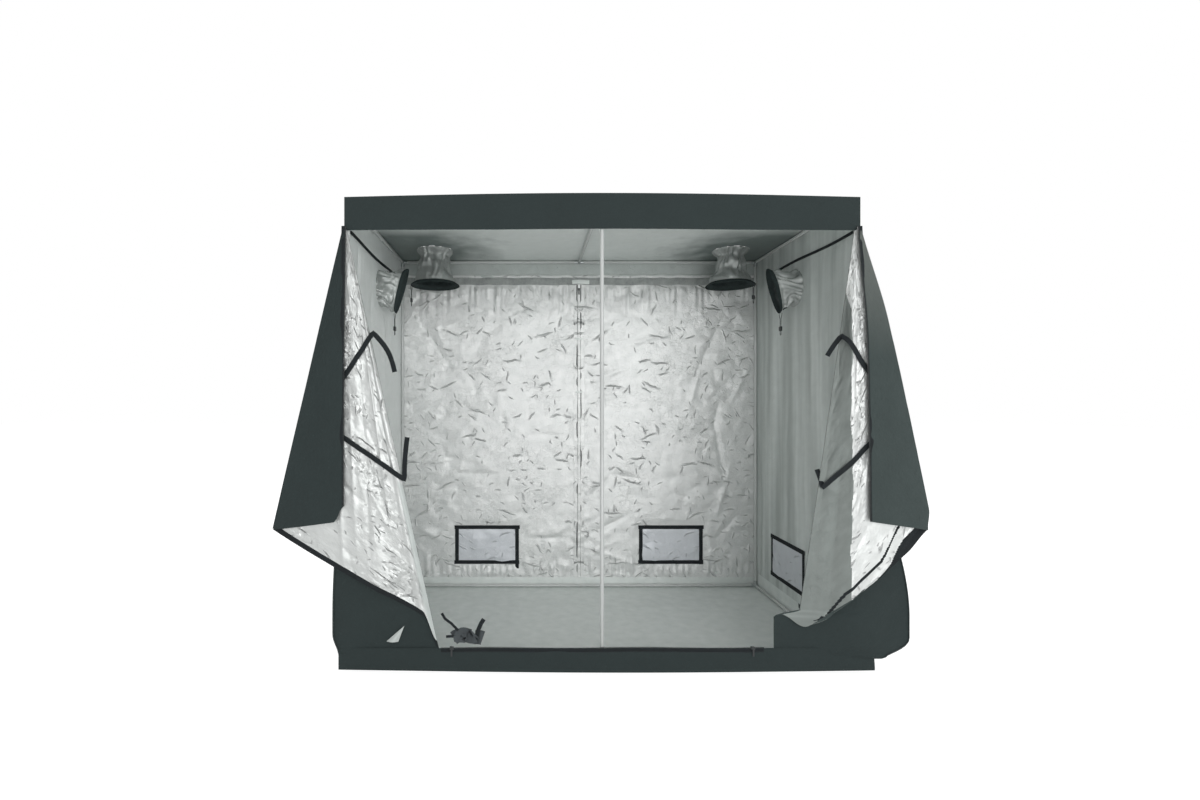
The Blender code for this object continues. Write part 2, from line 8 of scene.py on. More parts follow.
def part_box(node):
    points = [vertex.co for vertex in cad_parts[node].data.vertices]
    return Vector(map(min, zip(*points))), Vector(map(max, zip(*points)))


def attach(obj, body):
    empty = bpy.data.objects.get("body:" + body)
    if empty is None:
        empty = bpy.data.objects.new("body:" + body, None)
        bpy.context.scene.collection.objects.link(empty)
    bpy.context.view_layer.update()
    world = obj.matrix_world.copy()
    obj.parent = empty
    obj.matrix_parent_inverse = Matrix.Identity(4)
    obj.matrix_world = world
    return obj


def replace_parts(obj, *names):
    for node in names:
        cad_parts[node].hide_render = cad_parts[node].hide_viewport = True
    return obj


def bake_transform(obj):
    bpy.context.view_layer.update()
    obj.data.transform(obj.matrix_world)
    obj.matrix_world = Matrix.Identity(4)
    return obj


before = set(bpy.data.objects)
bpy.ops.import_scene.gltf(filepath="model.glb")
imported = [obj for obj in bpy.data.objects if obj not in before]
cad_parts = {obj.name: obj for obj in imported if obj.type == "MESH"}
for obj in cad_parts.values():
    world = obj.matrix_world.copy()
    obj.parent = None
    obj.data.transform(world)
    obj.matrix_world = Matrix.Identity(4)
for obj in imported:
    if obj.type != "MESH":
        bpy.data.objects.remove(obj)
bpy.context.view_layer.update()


# Poles: steel tube, 19 mm across with a 1 mm wall, powder coated white. Each long pole is two
# halves that plug together, and every end slides over the stub of a welded fitting.
pole_radius = 0.0095
pole_bore = pole_radius - 0.001
pole_mouth = ((pole_bore, 0.04), (pole_bore, 0.0005), (pole_radius - 0.0004, 0), (pole_radius, 0.0005))
joint_groove = ((0, -0.0016), (0.0006, -0.0008), (0.0006, 0.0008), (0, 0.0016))
longest_single = 1.2
poles = [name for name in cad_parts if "rail" in name or "upright" in name]
poles += ["front_pole", "roof_crossbar"]


def linear(colour):
    """A colour written as an sRGB hex value, in the linear values that shaders take."""
    parts = [int(colour[i:i + 2], 16) / 255 for i in (1, 3, 5)]
    return (*[c / 12.92 if c <= 0.04045 else ((c + 0.055) / 1.055) ** 2.4 for c in parts], 1)


def finish(name, colour, roughness, metallic=0.0, **sockets):
    """A Principled material; the rest of its look is added with node()."""
    made = bpy.data.materials.new(name)
    made.use_nodes = True
    made["shader"] = "Principled BSDF"
    shader = made.node_tree.nodes["Principled BSDF"]
    sockets.update({"Base Color": linear(colour), "Roughness": roughness, "Metallic": metallic})
    for socket, value in sockets.items():
        shader.inputs[socket.replace("_", " ")].default_value = value
    return made


def node(finish, kind, inputs=(), **settings):
    """Adds one shader node with its settings; a socket given as an input is linked."""
    made = finish.node_tree.nodes.new("ShaderNode" + kind)
    for setting, value in settings.items():
        setattr(made, setting, value)
    for key, value in dict(inputs).items():
        if isinstance(value, bpy.types.NodeSocket):
            finish.node_tree.links.new(value, made.inputs[key])
        else:
            made.inputs[key].default_value = value
    return made


def feed(finish, **sockets):
    """Links outputs to the material's shader."""
    shader = finish.node_tree.nodes["Principled BSDF"]
    for key, socket in sockets.items():
        finish.node_tree.links.new(socket, shader.inputs[key.replace("_", " ")])


def noise(finish, where, scale, detail=2.0, roughness=0.5):
    """Soft noise with marks about 1 / scale metres across."""
    return node(finish, "TexNoise", {"Vector": where, "Scale": scale, "Detail": detail,
                                     "Roughness": roughness}).outputs[0]


def mix(finish, share, low, high):
    """A colour between two, which are sRGB hex values or other nodes' colours."""
    low, high = (linear(colour) if isinstance(colour, str) else colour for colour in (low, high))
    return node(finish, "Mix", {0: share, 6: low, 7: high}, data_type="RGBA").outputs[2]


def graded(finish, value, over=(0.0, 1.0), onto=(0.0, 1.0)):
    """A value that runs over one span, spread onto another and held at its ends."""
    return node(finish, "MapRange", {0: value, 1: over[0], 2: over[1], 3: onto[0], 4: onto[1]}).outputs[0]


def relief(finish, height, distance, **sockets):
    """A surface's normal, tilted by a height whose full value is a distance in metres."""
    return node(finish, "Bump", {"Height": height, "Distance": distance, **sockets}).outputs[0]


def select_only(piece):
    bpy.ops.object.select_all(action="DESELECT")
    piece.select_set(True)
    bpy.context.view_layer.objects.active = piece


def apply_all(piece):
    """Applies a piece's modifiers, in their order."""
    select_only(piece)
    for step in list(piece.modifiers):
        bpy.ops.object.modifier_apply(modifier=step.name)


def smooth(piece, degrees):
    """Smooth shading, broken where two faces meet at more than an angle."""
    piece.data.shade_smooth()
    piece.data.set_sharp_from_angle(angle=math.radians(degrees))


def add_piece(name, points, faces, made_of=(), edges=()):
    """A new mesh object with its materials, in the scene."""
    mesh = bpy.data.meshes.new(name)
    mesh.from_pydata(points, edges, faces)
    for used in made_of:
        mesh.materials.append(used)
    piece = bpy.data.objects.new(name, mesh)
    bpy.context.collection.objects.link(piece)
    return piece


# Powder coat: sprayed polyester, baked. A faint orange peel of 1.5 mm breaks up its soft gloss.
powder_coat = finish("white_powder_coat", "#cdd0cf", 0.34, Coat_Weight=0.15)
where = node(powder_coat, "TexCoord").outputs["Object"]
feed(powder_coat, Base_Color=mix(powder_coat, noise(powder_coat, where, 7.0, 4.0), "#c2c6c4", "#d4d7d6"),
     Normal=relief(powder_coat, noise(powder_coat, where, 660.0), 0.00012))

axis_turns = (Matrix.Rotation(math.pi / 2, 4, "Y"), Matrix.Rotation(math.pi / 2, 4, "X"), Matrix())
for name in poles:
    low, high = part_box(name)
    size = high - low
    axis = max(range(3), key=lambda i: size[i])
    long = size[axis]
    section = list(pole_mouth)
    if long > longest_single:
        section += [(pole_radius - deep, long / 2 + z) for deep, z in joint_groove]
    section += [(r, long - z) for r, z in pole_mouth[::-1]]
    pole = add_piece(name + "_pole", [(r, 0, z - long / 2) for r, z in section], [], (powder_coat,),
                     edges=[(i, i + 1) for i in range(len(section) - 1)])
    turn = pole.modifiers.new("turn", "SCREW")
    turn.steps = turn.render_steps = 32
    turn.use_merge_vertices = True
    turn.merge_threshold = 0.00001
    turn.use_normal_calculate = True
    apply_all(pole)
    pole.data.transform(Matrix.Translation((low + high) / 2) @ axis_turns[axis])
    smooth(pole, 40)
    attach(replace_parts(pole, name), "tent")


# Fittings: short sockets welded at right angles round a corner, zinc plated after welding.
# The plating shows a fine spangle of greyer and paler cells.
zinc = finish("zinc_plated_steel", "#b4b8b8", 0.4, 1.0)
where = node(zinc, "TexCoord").outputs["Object"]
spangle = node(zinc, "TexVoronoi", {"Vector": where, "Scale": 420.0}).outputs["Color"]
feed(zinc, Base_Color=mix(zinc, spangle, "#a3a8a8", "#c6caca"),
     Roughness=graded(zinc, spangle, onto=(0.32, 0.52)))
for name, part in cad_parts.items():
    if "fitting" in name:
        part.data.materials.clear()
        part.data.materials.append(zinc)


# Floor tray: the sewn bottom of the cover, black Oxford with silver film inside. Its rim stands
# 100 mm all round, and the cloth lies loose on the ground with the marks of its folding.
tent_x, tent_y, tent_z = 1.2, 0.6, 2.2
tray_rim = 0.1
tray_pushed_out = {-1: -0.026, 1: 0.062}
tray_bulge = 0.03
tray_step = 0.016
lip_top = 0.086
cloth_weight = 0.0011
grid_step = 0.0125


def ridges(us, vs, lines):
    """Heights over a flat cut of straight sharp folds: (from u, v, to u, v, width, height)."""
    total = np.zeros((len(vs), len(us)))
    for u0, v0, u1, v1, width, height in lines:
        reach = 3.5 * width
        a, b = np.searchsorted(us, (min(u0, u1) - reach, max(u0, u1) + reach))
        c, d = np.searchsorted(vs, (min(v0, v1) - reach, max(v0, v1) + reach))
        if a == b or c == d:
            continue
        u, v = us[a:b][None, :] - u0, vs[c:d][:, None] - v0
        long = math.hypot(u1 - u0, v1 - v0)
        along = (u * (u1 - u0) + v * (v1 - v0)) / long ** 2
        off = np.abs(u * (v1 - v0) - v * (u1 - u0)) / long / width
        window = np.sin(np.pi * np.clip(along, 0, 1))
        total[c:d, a:b] += height * window * np.exp(-off * off / (0.35 + off))
    return total


def crumpled(us, vs, seed, count, longest, height, lean=None, spread=0.5, slim=0.16):
    """Heights of many creases at random places, long ones few and short ones shallow."""
    rng = np.random.default_rng(seed)
    long = longest * (0.15 + 0.85 * rng.random(count) ** 2)
    turn = rng.random(count) * math.pi if lean is None else lean + spread * rng.normal(size=count)
    u, v = rng.uniform(us[0], us[-1], count), rng.uniform(vs[0], vs[-1], count)
    du, dv = np.cos(turn) * long / 2, np.sin(turn) * long / 2
    sign = rng.choice((-1, 1), count) * rng.uniform(0.5, 1, count)
    lines = np.stack([u - du, v - dv, u + du, v + dv, slim * long, sign * height * long / longest], 1)
    return ridges(us, vs, lines)


def ease(x):
    """Rises smoothly from 0 to 1 while x does, and stays level outside."""
    x = np.clip(x, 0, 1)
    return x * x * (3 - 2 * x)


def rows(low, high, step, *stops):
    """Places from low to high about a step apart, with one at each stop."""
    ends = [low, *sorted(stops), high]
    parts = [np.linspace(a, b, max(2, math.ceil((b - a) / step) + 1)) for a, b in zip(ends, ends[1:])]
    return np.unique(np.concatenate(parts).round(7))


def edit(piece, *steps):
    """Runs modelling steps, each with its settings, on the whole of a piece's mesh."""
    select_only(piece)
    bpy.ops.object.mode_set(mode="EDIT")
    bpy.ops.mesh.select_all(action="SELECT")
    for step, settings in steps:
        step(**settings)
    bpy.ops.object.mode_set(mode="OBJECT")


def cloth(name, us, vs, place, finishes, lift=0.0, keep=None, band=None, weight=cloth_weight,
          scale=(1, 1)):
    """A sheet cut flat to us by vs and hung by place(u, v), which gives x, y and z.

    finishes go in pairs, a face and its back. lift raises the sheet along its face, keep says
    where there is cloth, and band gives the number of the pair that each place takes, or says
    where the second pair is. UVs are u and v times scale, which makes them metres of cloth.
    """
    u, v = np.meshgrid(us, vs)
    points = np.stack(np.broadcast_arrays(*place(u, v)), -1).astype(float)
    face = np.cross(np.gradient(points, axis=1), np.gradient(points, axis=0))
    face /= np.linalg.norm(face, axis=-1, keepdims=True) + 1e-12
    points += face * np.asarray(lift)[..., None]
    count = len(us)
    first = (np.arange(len(vs) - 1)[:, None] * count + np.arange(count - 1)[None, :])
    middle_u = (u[1:, 1:] + u[:-1, :-1]) / 2
    middle_v = (v[1:, 1:] + v[:-1, :-1]) / 2
    kept = np.ones(first.shape, bool) if keep is None else keep(middle_u, middle_v)
    quads = np.stack([first, first + 1, first + count + 1, first + count], -1)[kept]
    piece = add_piece(name, points.reshape(-1, 3), quads, finishes)
    mesh = piece.data
    cut = mesh.uv_layers.new(name="cloth")
    order = np.array([loop.vertex_index for loop in mesh.loops])
    cut.data.foreach_set("uv", (np.stack([u.ravel()[order], v.ravel()[order]], -1) * scale).ravel())
    if band is not None:
        mesh.polygons.foreach_set("material_index", 2 * band(middle_u, middle_v)[kept].astype(int))
    edit(piece, (bpy.ops.mesh.remove_doubles, {"threshold": 0.00002}), (bpy.ops.mesh.delete_loose, {}))
    body = piece.modifiers.new("weight", "SOLIDIFY")
    body.thickness = weight
    body.offset = -1
    body.material_offset = body.material_offset_rim = 1
    apply_all(piece)
    smooth(piece, 60)
    return piece


# Oxford: 600-denier polyester in a basket weave, its back coated. Real threads are 0.5 mm apart,
# drawn 1.4 mm apart so that they show. The dye is a green-black, paler where cloth has rubbed.
thread_pitch = 0.0014


def number(finish, operation, *values):
    """One step of arithmetic on single values."""
    return node(finish, "Math", enumerate(values), operation=operation).outputs[0]


def vector(finish, operation, *values):
    """One step of arithmetic on vectors, which gives a vector, a length or a product."""
    step = node(finish, "VectorMath", enumerate(values), operation=operation)
    return step.outputs["Value" if operation in ("LENGTH", "DOT_PRODUCT") else "Vector"]


def oxford_finish(name, dark, pale, top_sheen=None):
    """Black Oxford between two tones; the last argument, if given, is the tone of a painted sheen towards one
    end of the cloth.
    """
    made = finish(name, dark, 0.8, Specular_IOR_Level=0.25)
    cut = node(made, "UVMap").outputs[0]
    ways = node(made, "SeparateXYZ", {0: cut}).outputs
    over = node(made, "TexChecker", {"Vector": cut, "Scale": 1 / thread_pitch}).outputs["Fac"]
    turns = [number(made, "MULTIPLY", ways[axis], math.pi / thread_pitch) for axis in (0, 1)]
    warp, weft = (number(made, "ABSOLUTE", number(made, "SINE", turn)) for turn in turns)
    weave = node(made, "Mix", {0: over, 2: warp, 3: weft}).outputs[0]
    rub = noise(made, cut, 3.1, 6.0, 0.65)
    shade = mix(made, rub, dark, pale)
    # Painted sheen: near the start of the cloth's UV height, the top of the right leaf, the tone lightens to
    # the sheen's tone.
    if top_sheen:
        shade = mix(made, graded(made, ways[1], over=(0.2, 0.95), onto=(0.8, 0.0)), shade, top_sheen)
    threads = relief(made, weave, 0.00022)
    rumple = relief(made, noise(made, cut, 26.0, 5.0, 0.6), 0.006, Normal=threads)
    feed(made, Base_Color=shade, Roughness=graded(made, rub, onto=(0.66, 0.88)), Normal=rumple)
    return made


oxford = oxford_finish("black_oxford", "#262f2f", "#353f3f")

# Silver film: polyester film with a vacuum-deposited aluminium layer, laminated on the Oxford.
# It creases like foil into flat facets of 9 to 120 mm, each leaning its own way. Worked film also
# has short straight folds 8 to 16 mm across, each darkened with painted shade.
crumpled_facets = ((0.055, 0.14), (0.021, 0.2), (0.009, 0.16))
gentle_facets = ((0.09, 0.06), (0.03, 0.06), (0.011, 0.05))
silver_folds = ((0.17, 0.008, 0.075, 0.006, 0.5, 0.5), (0.09, 0.007, 0.042, 0.005, 1.6, 0.45),
                (0.045, 0.005, 0.022, 0.0035, 1.6, 0.34))
fold_shade_tone = "#5f6463"
fold_shade_share = 0.22


def cells(finish, where, size):
    """Random cells of a size: where a place lies from its cell's middle, and the cell's own colour."""
    cell = node(finish, "TexVoronoi", {"Vector": where, "Scale": 1 / size}, voronoi_dimensions="2D")
    return vector(finish, "SUBTRACT", where, cell.outputs["Position"]), cell.outputs["Color"]


def film_finish(name, colour, dark, roughness, metal, facets, folds=(), edges=None, streak_shade=None):
    """Silver film between two tones.

    facets are pairs of size and slope. folds are rows of spacing, half width, half length,
    height, lean and share, and lie where the film has been worked, also near edges, which is
    a sheet's half width, half height and middle height. The last argument, if given, is the tone of painted
    shade in long streaks along the cloth's height.
    """
    made = finish(name, colour, roughness, metal)
    cut = node(made, "UVMap").outputs[0]
    sway = node(made, "TexNoise", {"Vector": cut, "Scale": 11.0, "Detail": 3.0}).outputs["Color"]
    bent = vector(made, "MULTIPLY_ADD", sway, (0.05, 0.05, 0), cut)
    height = 0.0
    for size, slope in facets:
        out, chance = cells(made, bent, size)
        tilt = vector(made, "DOT_PRODUCT", out, vector(made, "SUBTRACT", chance, (0.5, 0.5, 0.5)))
        height = number(made, "MULTIPLY_ADD", tilt, slope, height)
    worked = graded(made, noise(made, cut, 4.2, 3.0), over=(0.44, 0.66))
    if edges:
        half_u, half_v, middle_v = edges
        off = vector(made, "ABSOLUTE", vector(made, "SUBTRACT", cut, (0, middle_v, 0)))
        share = vector(made, "MULTIPLY", off, (1 / half_u, 1 / half_v, 0))
        share = node(made, "SeparateXYZ", {0: share}).outputs
        rim = graded(made, number(made, "MAXIMUM", share[0], share[1]), over=(0.66, 0.98), onto=(0.0, 0.8))
        worked = number(made, "MAXIMUM", worked, rim)
    worn = noise(made, cut, 17.0, 5.0)
    tone = mix(made, worn, dark, colour)
    # Painted shade: long streaks along the cloth's height darken the tone, standing for the shade of soft
    # folds.
    if streak_shade:
        shade_streaks = noise(made, vector(made, "MULTIPLY", cut, (9.0, 0.5, 0)), 1.0, 2.5)
        tone = mix(made, graded(made, shade_streaks, over=(0.38, 0.66), onto=(0.0, 0.85)), tone, streak_shade)
    normal = relief(made, height, 1.0, Strength=graded(made, worked, onto=(0.3, 1.0)))
    for apart, wide, long, tall, lean, share in folds:
        out, chance = cells(made, bent, apart)
        chance = node(made, "SeparateXYZ", {0: chance}).outputs
        turn = graded(made, chance[0], onto=(-lean, lean))
        level, rise = number(made, "COSINE", turn), number(made, "SINE", turn)
        run = node(made, "CombineXYZ", {0: level, 1: rise}).outputs[0]
        along = number(made, "ABSOLUTE", vector(made, "DOT_PRODUCT", out, run))
        off = vector(made, "LENGTH", vector(made, "CROSS_PRODUCT", out, run))
        sharp = graded(made, off, over=(0.0, wide), onto=(1.0, 0.0))
        reach = graded(made, along, over=(0.3 * long, long), onto=(1.0, 0.0))
        kept = number(made, "LESS_THAN", chance[1], graded(made, worked, onto=(0.3 * share, share)))
        fold = number(made, "MULTIPLY", number(made, "MULTIPLY", sharp, reach), kept)
        normal = relief(made, fold, tall, Normal=normal)
        # Painted shade: each fold darkens the tone towards a grey, more where the film is worked and near a
        # sheet's edges.
        tone = mix(made, number(made, "MULTIPLY", fold, fold_shade_share), tone, fold_shade_tone)
    feed(made, Base_Color=tone, Normal=normal,
         Roughness=graded(made, worn, onto=(roughness + 0.08, roughness - 0.06)))
    return made


silver_film = film_finish("crinkled_silver_film", "#e4e5e4", "#cdd0cf", 0.48, 0.45, crumpled_facets,
                          silver_folds)
smooth_film = film_finish("smooth_silver_film", "#c6ccca", "#b2b9b6", 0.5, 0.3, gentle_facets)
tray_film = film_finish("flat_silver_film", "#f0f4f2", "#d2d9d6", 0.5, 0.12,
                        ((0.12, 0.04), (0.04, 0.04), (0.012, 0.03)))


def boxed(u, v, base, up):
    """A flat cross-shaped cut folded into a box: its base, and a rim that runs up or down."""
    x = np.clip(u, -tent_x, tent_x)
    y = np.clip(v, -tent_y, tent_y)
    return x, y, base + up * (np.abs(u - x) + np.abs(v - y))


def cross_shaped(u, v):
    """True on such a cut, and false in its four empty corners."""
    return ~((np.abs(u) > tent_x) & (np.abs(v) > tent_y))


def rim_share(u, v, rim):
    """How far along its rim a place on such a cut lies: 0 on the base and 1 at the hem."""
    return np.clip(np.maximum(np.abs(u) - tent_x, np.abs(v) - tent_y) / rim, 0, 1)


def seam_share(u, v):
    """0 at a box's upright corner seams, where two sides of the cut meet, and 1 away from them."""
    beside_front = np.where(np.abs(v) > tent_y, tent_x - np.abs(u), 1)
    beside = np.where((np.abs(u) > tent_x) & (np.abs(v) <= tent_y), tent_y - np.abs(v), beside_front)
    return ease(beside / 0.04)


def tray_place(u, v):
    """The tray as sewn, its front bulging and its loose front corners pushed outward."""
    x, y, z = boxed(u, v, cloth_weight + 0.0002, 1)
    spread = ease((-0.1 - y) / 0.5) * ease((x * np.sign(x) - 0.7) / 0.5) * ease((0.115 - z) / 0.05)
    bulge = tray_bulge * np.cos(np.pi * np.clip((x - 0.1) / 2.6, -0.5, 0.5)) * ease((-0.4 - y) / 0.2)
    pushed = np.where(x < 0, tray_pushed_out[-1], tray_pushed_out[1])
    return x + spread * pushed, y - bulge * (1 - ease(z / lip_top)), z


us = rows(-tent_x - tray_rim, tent_x + tray_rim, tray_step, -tent_x, tent_x)
vs = rows(-tent_y - tray_rim, tent_y + tray_rim, tray_step, -tent_y, tent_y)
u, v = np.meshgrid(us, vs)
inside = ease((tent_x - 0.03 - np.abs(u)) / 0.08) * ease((tent_y - 0.03 - np.abs(v)) / 0.08)
packed = [(s, -tent_y, s, tent_y, 0.02, 0.003) for s in (-0.8, -0.4, 0.0, 0.4, 0.8)]
packed += [(-tent_x, s, tent_x, s, 0.02, 0.003) for s in (-0.2, 0.2)]
lie = np.abs(crumpled(us, vs, 3, 240, 0.6, 0.004)) + np.abs(ridges(us, vs, packed))
slack = crumpled(us, vs, 4, 260, 0.25, 0.004) * np.sin(np.pi * rim_share(u, v, tray_rim)) * seam_share(u, v)
tray = cloth("tray_cloth", us, vs, tray_place, (tray_film, oxford), keep=cross_shaped,
             lift=np.minimum(lie, 0.012) * inside + slack)
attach(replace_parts(tray, "floor_tray"), "tent")


# Back wall: one sheet of lined Oxford, crinkled all over, hung from the roof and sewn inside the
# tray's rim. It has a zip up its middle, and a window near each foot behind a screen.
wall_foot = 0.099
back_foot = 0.066
wall_head = tent_z - 0.012
hem_line = 2.104
face_depth = 0.0035
back_face = tent_y - face_depth
port_x, port_y, wall_port_y, wall_port_z = 0.93, 0.34, 0.04, 1.9
vent_w, vent_h, vent_z, back_vent_x, side_vent_y, window_margin = 0.43, 0.26, 0.285, 0.62, 0.14, 0.03
window_w, window_h = vent_w / 2 - window_margin, vent_h / 2 - window_margin
wall_step = 0.0108
foot_seam, head_seam, pucker_top = 0.12, 2.02, 2.036


def gathers(u, seam, pitch, reach, height, seed):
    """Uneven puckers that run out from a seam, where seam is each place's distance from it."""
    rng = np.random.default_rng(seed)
    wave = 0
    for share in (0.45, 0.7, 1.0, 1.3, 1.7):
        wander = rng.uniform(0, 6) + 1.5 * np.sin(u * rng.uniform(2, 9) + rng.uniform(0, 6))
        wave = wave + rng.uniform(0.5, 1) * np.sin(2 * np.pi * u * share / pitch + wander)
    reach = reach * (1 + 0.5 * np.sin(u * 23 + 2 * np.sin(u * 9)))
    return height * wave / 2.2 * np.exp(-(seam / reach) ** 1.5)


def past_window(off, v):
    """How far outside a window a place lies, from its offset along the wall and its height."""
    return np.maximum(np.abs(off) - window_w, np.abs(v - vent_z) - window_h)


us = rows(-tent_x + 0.002, tent_x - 0.002, wall_step, 0.0,
          *[s * back_vent_x + t * window_w for s in (-1, 1) for t in (-1, 1)])
vs = rows(back_foot, wall_head, wall_step, vent_z - window_h, vent_z + window_h, hem_line)
u, v = np.meshgrid(us, vs)
edge = ease((tent_x - np.abs(u)) / 0.07) * ease((v - back_foot) / 0.03) * ease((pucker_top - v) / 0.03)
window = past_window(np.abs(u) - back_vent_x, v)
calm = edge * ease((window - 0.03) / 0.05) * ease((np.abs(u) - 0.02) / 0.03)

# The long creases run from the upper corners and past the windows.
pulls = [(-1.1, 1.84, -0.83, 1.42, 0.013, -0.01), (-1.0, 1.86, -0.9, 1.6, 0.012, 0.006),
         (1.0, 1.88, 0.75, 1.36, 0.013, -0.011), (0.82, 1.5, 0.74, 1.18, 0.012, 0.008),
         (0.96, 1.3, 0.9, 1.05, 0.012, -0.008), (1.16, 1.5, 1.0, 1.2, 0.012, 0.008),
         (0.9, 1.18, 1.0, 0.62, 0.013, -0.01), (1.03, 0.86, 0.92, 0.44, 0.012, 0.009),
         (1.08, 0.5, 0.9, 0.3, 0.013, -0.01), (0.3, 1.62, 0.62, 1.72, 0.012, -0.006),
         (0.1, 1.4, 0.34, 1.48, 0.013, -0.007), (0.05, 1.25, 0.3, 1.3, 0.012, 0.005),
         (0.06, 0.6, 0.22, 0.75, 0.013, -0.009), (0.2, 0.76, 0.42, 0.73, 0.012, -0.009),
         (-0.86, 0.765, -0.5, 0.76, 0.012, -0.008), (-0.3, 1.03, -0.1, 1.02, 0.012, -0.006),
         (-0.86, 1.46, -0.5, 1.45, 0.012, 0.005), (-0.52, 1.2, -0.5, 1.05, 0.012, -0.006),
         (-1.12, 0.42, -0.9, 0.3, 0.014, 0.012), (-0.36, 0.33, -0.05, 0.335, 0.012, -0.01),
         (0.05, 0.34, 0.36, 0.5, 0.014, -0.013), (0.08, 0.26, 0.4, 0.14, 0.014, 0.008)]
far_out = np.maximum(ease((np.abs(u) - 0.45) / 0.6), ease((np.abs(v - 1.15) - 0.45) / 0.45))
deep = crumpled(us, vs, 11, 700, 0.3, 0.007, slim=0.09) + crumpled(us, vs, 12, 1700, 0.13, 0.007, slim=0.12)
deep += crumpled(us, vs, 14, 260, 0.35, 0.006, lean=0.1, spread=0.3, slim=0.05)
pucker = gathers(u, np.abs(v - foot_seam), 0.06, 0.05, 0.009, 5)
pucker = pucker + gathers(u, np.abs(v - head_seam), 0.06, 0.08, 0.008, 7)
pucker += gathers(v, np.abs(np.abs(u) - 0.04), 0.11, 0.022, 0.0025, 6) + gathers(
    v, tent_x - np.abs(u), 0.1, 0.07, 0.005, 8)
back_lift = (deep * (0.34 + 0.66 * far_out) + ridges(us, vs, pulls)) * calm
back_lift = back_lift + pucker * edge * ease((window - 0.03) / 0.02) * ease((np.abs(u) - 0.02) / 0.02)
back_lift += 0.005 * np.sin(np.pi * (u + tent_x) / tent_x) ** 2 * calm
back_film = film_finish("back_silver_film", "#e9eae9", "#d6d9d8", 0.48, 0.32,
                        ((0.055, 0.12), (0.021, 0.17), (0.009, 0.14)), silver_folds,
                        edges=(tent_x, (wall_head - back_foot) / 2, (wall_head + back_foot) / 2))
back = cloth("back_wall_cloth", us, vs, lambda u, v: (u, np.full_like(u, back_face), v),
             (back_film, oxford, smooth_film, oxford), lift=np.clip(back_lift, -0.012, 0.03),
             keep=lambda u, v: past_window(np.abs(u) - back_vent_x, v) > 0,
             band=lambda u, v: v > hem_line)
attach(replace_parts(back, "back_wall"), "tent")


# Head band: a dark grey hook-and-loop band, 48 mm wide, across the back wall where the roof's
# skirt presses on it, below the skirt's own piping of white-grey cord. Its dark grey is also
# painted shade, where the skirt's overhang shades the wall.
band_z = 2.06
band_width = 0.048
piping_width = 0.009
to_front = (0, -1, 0)


def face_outward(piece):
    """Turns the faces of a closed piece outward."""
    edit(piece, (bpy.ops.mesh.normals_make_consistent, {"inside": False}))


def line_of(*coordinates):
    """Points of a line, from x, y and z that are each one value or many."""
    return np.stack(np.broadcast_arrays(*coordinates), -1).astype(float)


def run_length(line):
    """How far along a line each of its points lies."""
    return np.concatenate([[0], np.cumsum(np.linalg.norm(np.diff(line, axis=0), axis=1))])


def directions(line, facing, closed=False):
    """Unit directions at each point of a line: ahead, across, and up on the side it faces."""
    ahead = np.roll(line, -1, 0) - np.roll(line, 1, 0) if closed else np.gradient(line, axis=0)
    ahead /= np.linalg.norm(ahead, axis=1, keepdims=True)
    across = np.cross(ahead, np.broadcast_to(np.array(facing, float), line.shape))
    across /= np.linalg.norm(across, axis=1, keepdims=True)
    return ahead, across, np.cross(across, ahead)


def tape(name, line, facing, width, thick, made_of, closed=False):
    """A flat woven tape whose middle follows line and whose face looks along facing.

    Its UV map holds the distance from the nearer edge and the distance along, in metres.
    """
    line = np.array(line, float)
    ahead, across, up = directions(line, facing, closed)
    trim = min(0.12 * width, thick)
    section = np.array([(-width / 2, 0, 0), (-width / 2, 0.6 * thick, 0), (trim - width / 2, thick, trim),
                        (0, thick, width / 2), (width / 2 - trim, thick, trim), (width / 2, 0.6 * thick, 0),
                        (width / 2, 0, 0)])
    points = line[:, None] + section[:, :1] * across[:, None] + section[:, 1:2] * up[:, None]
    count, many = len(section), len(line)
    faces = []
    for i in range(many if closed else many - 1):
        one, two = i * count, (i + 1) % many * count
        faces += [(one + j, one + (j + 1) % count, two + (j + 1) % count, two + j) for j in range(count)]
    if not closed:
        faces += [tuple(range(count)), tuple((many - 1) * count + j for j in range(count))]
    piece = add_piece(name, points.reshape(-1, 3).tolist(), faces, (made_of,))
    along = run_length(line)
    cut = piece.data.uv_layers.new(name="cloth")
    for loop in piece.data.loops:
        ring, place = divmod(loop.vertex_index, count)
        cut.data[loop.index].uv = (section[place][2], along[ring])
    face_outward(piece)
    smooth(piece, 50)
    return piece


# Loop band: knitted nylon pile, matted by use. Its 6 mm tufts scatter the light unevenly.
# Its dark grey also stands in for the shade under the roof's skirt.
shade_band_finish = finish("grey_shade_band", "#7d8281", 0.9, Sheen_Weight=0.3)
where = node(shade_band_finish, "TexCoord").outputs["Object"]
feed(shade_band_finish, Base_Color=mix(shade_band_finish, noise(shade_band_finish, where, 21.0, 5.0, 0.7), "#666c6b", "#c6cac8"),
     Normal=relief(shade_band_finish, noise(shade_band_finish, where, 160.0, 4.0), 0.0015))

head_x = np.linspace(-tent_x + 0.01, tent_x - 0.01, 120)
ripple = 0.002 * np.sin(head_x * 37 + 2 * np.sin(head_x * 11))
skirt_shade_band = tape("skirt_shade_band", line_of(head_x, back_face - 0.0012, band_z + ripple), to_front, band_width,
                 0.002, shade_band_finish)
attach(skirt_shade_band, "tent")
piping = tape("skirt_piping", line_of(head_x, back_face - 0.0012, hem_line + ripple), to_front,
              piping_width, 0.004, smooth_film)
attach(piping, "tent")
cap_x = np.linspace(-0.046, 0.07, 14)
cap = tape("back_zip_cap", line_of(cap_x, back_face - 0.0034, 2.056 + 0.002 * np.cos(cap_x * 40)),
           to_front, 0.026, 0.0016, tray_film)
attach(cap, "tent")


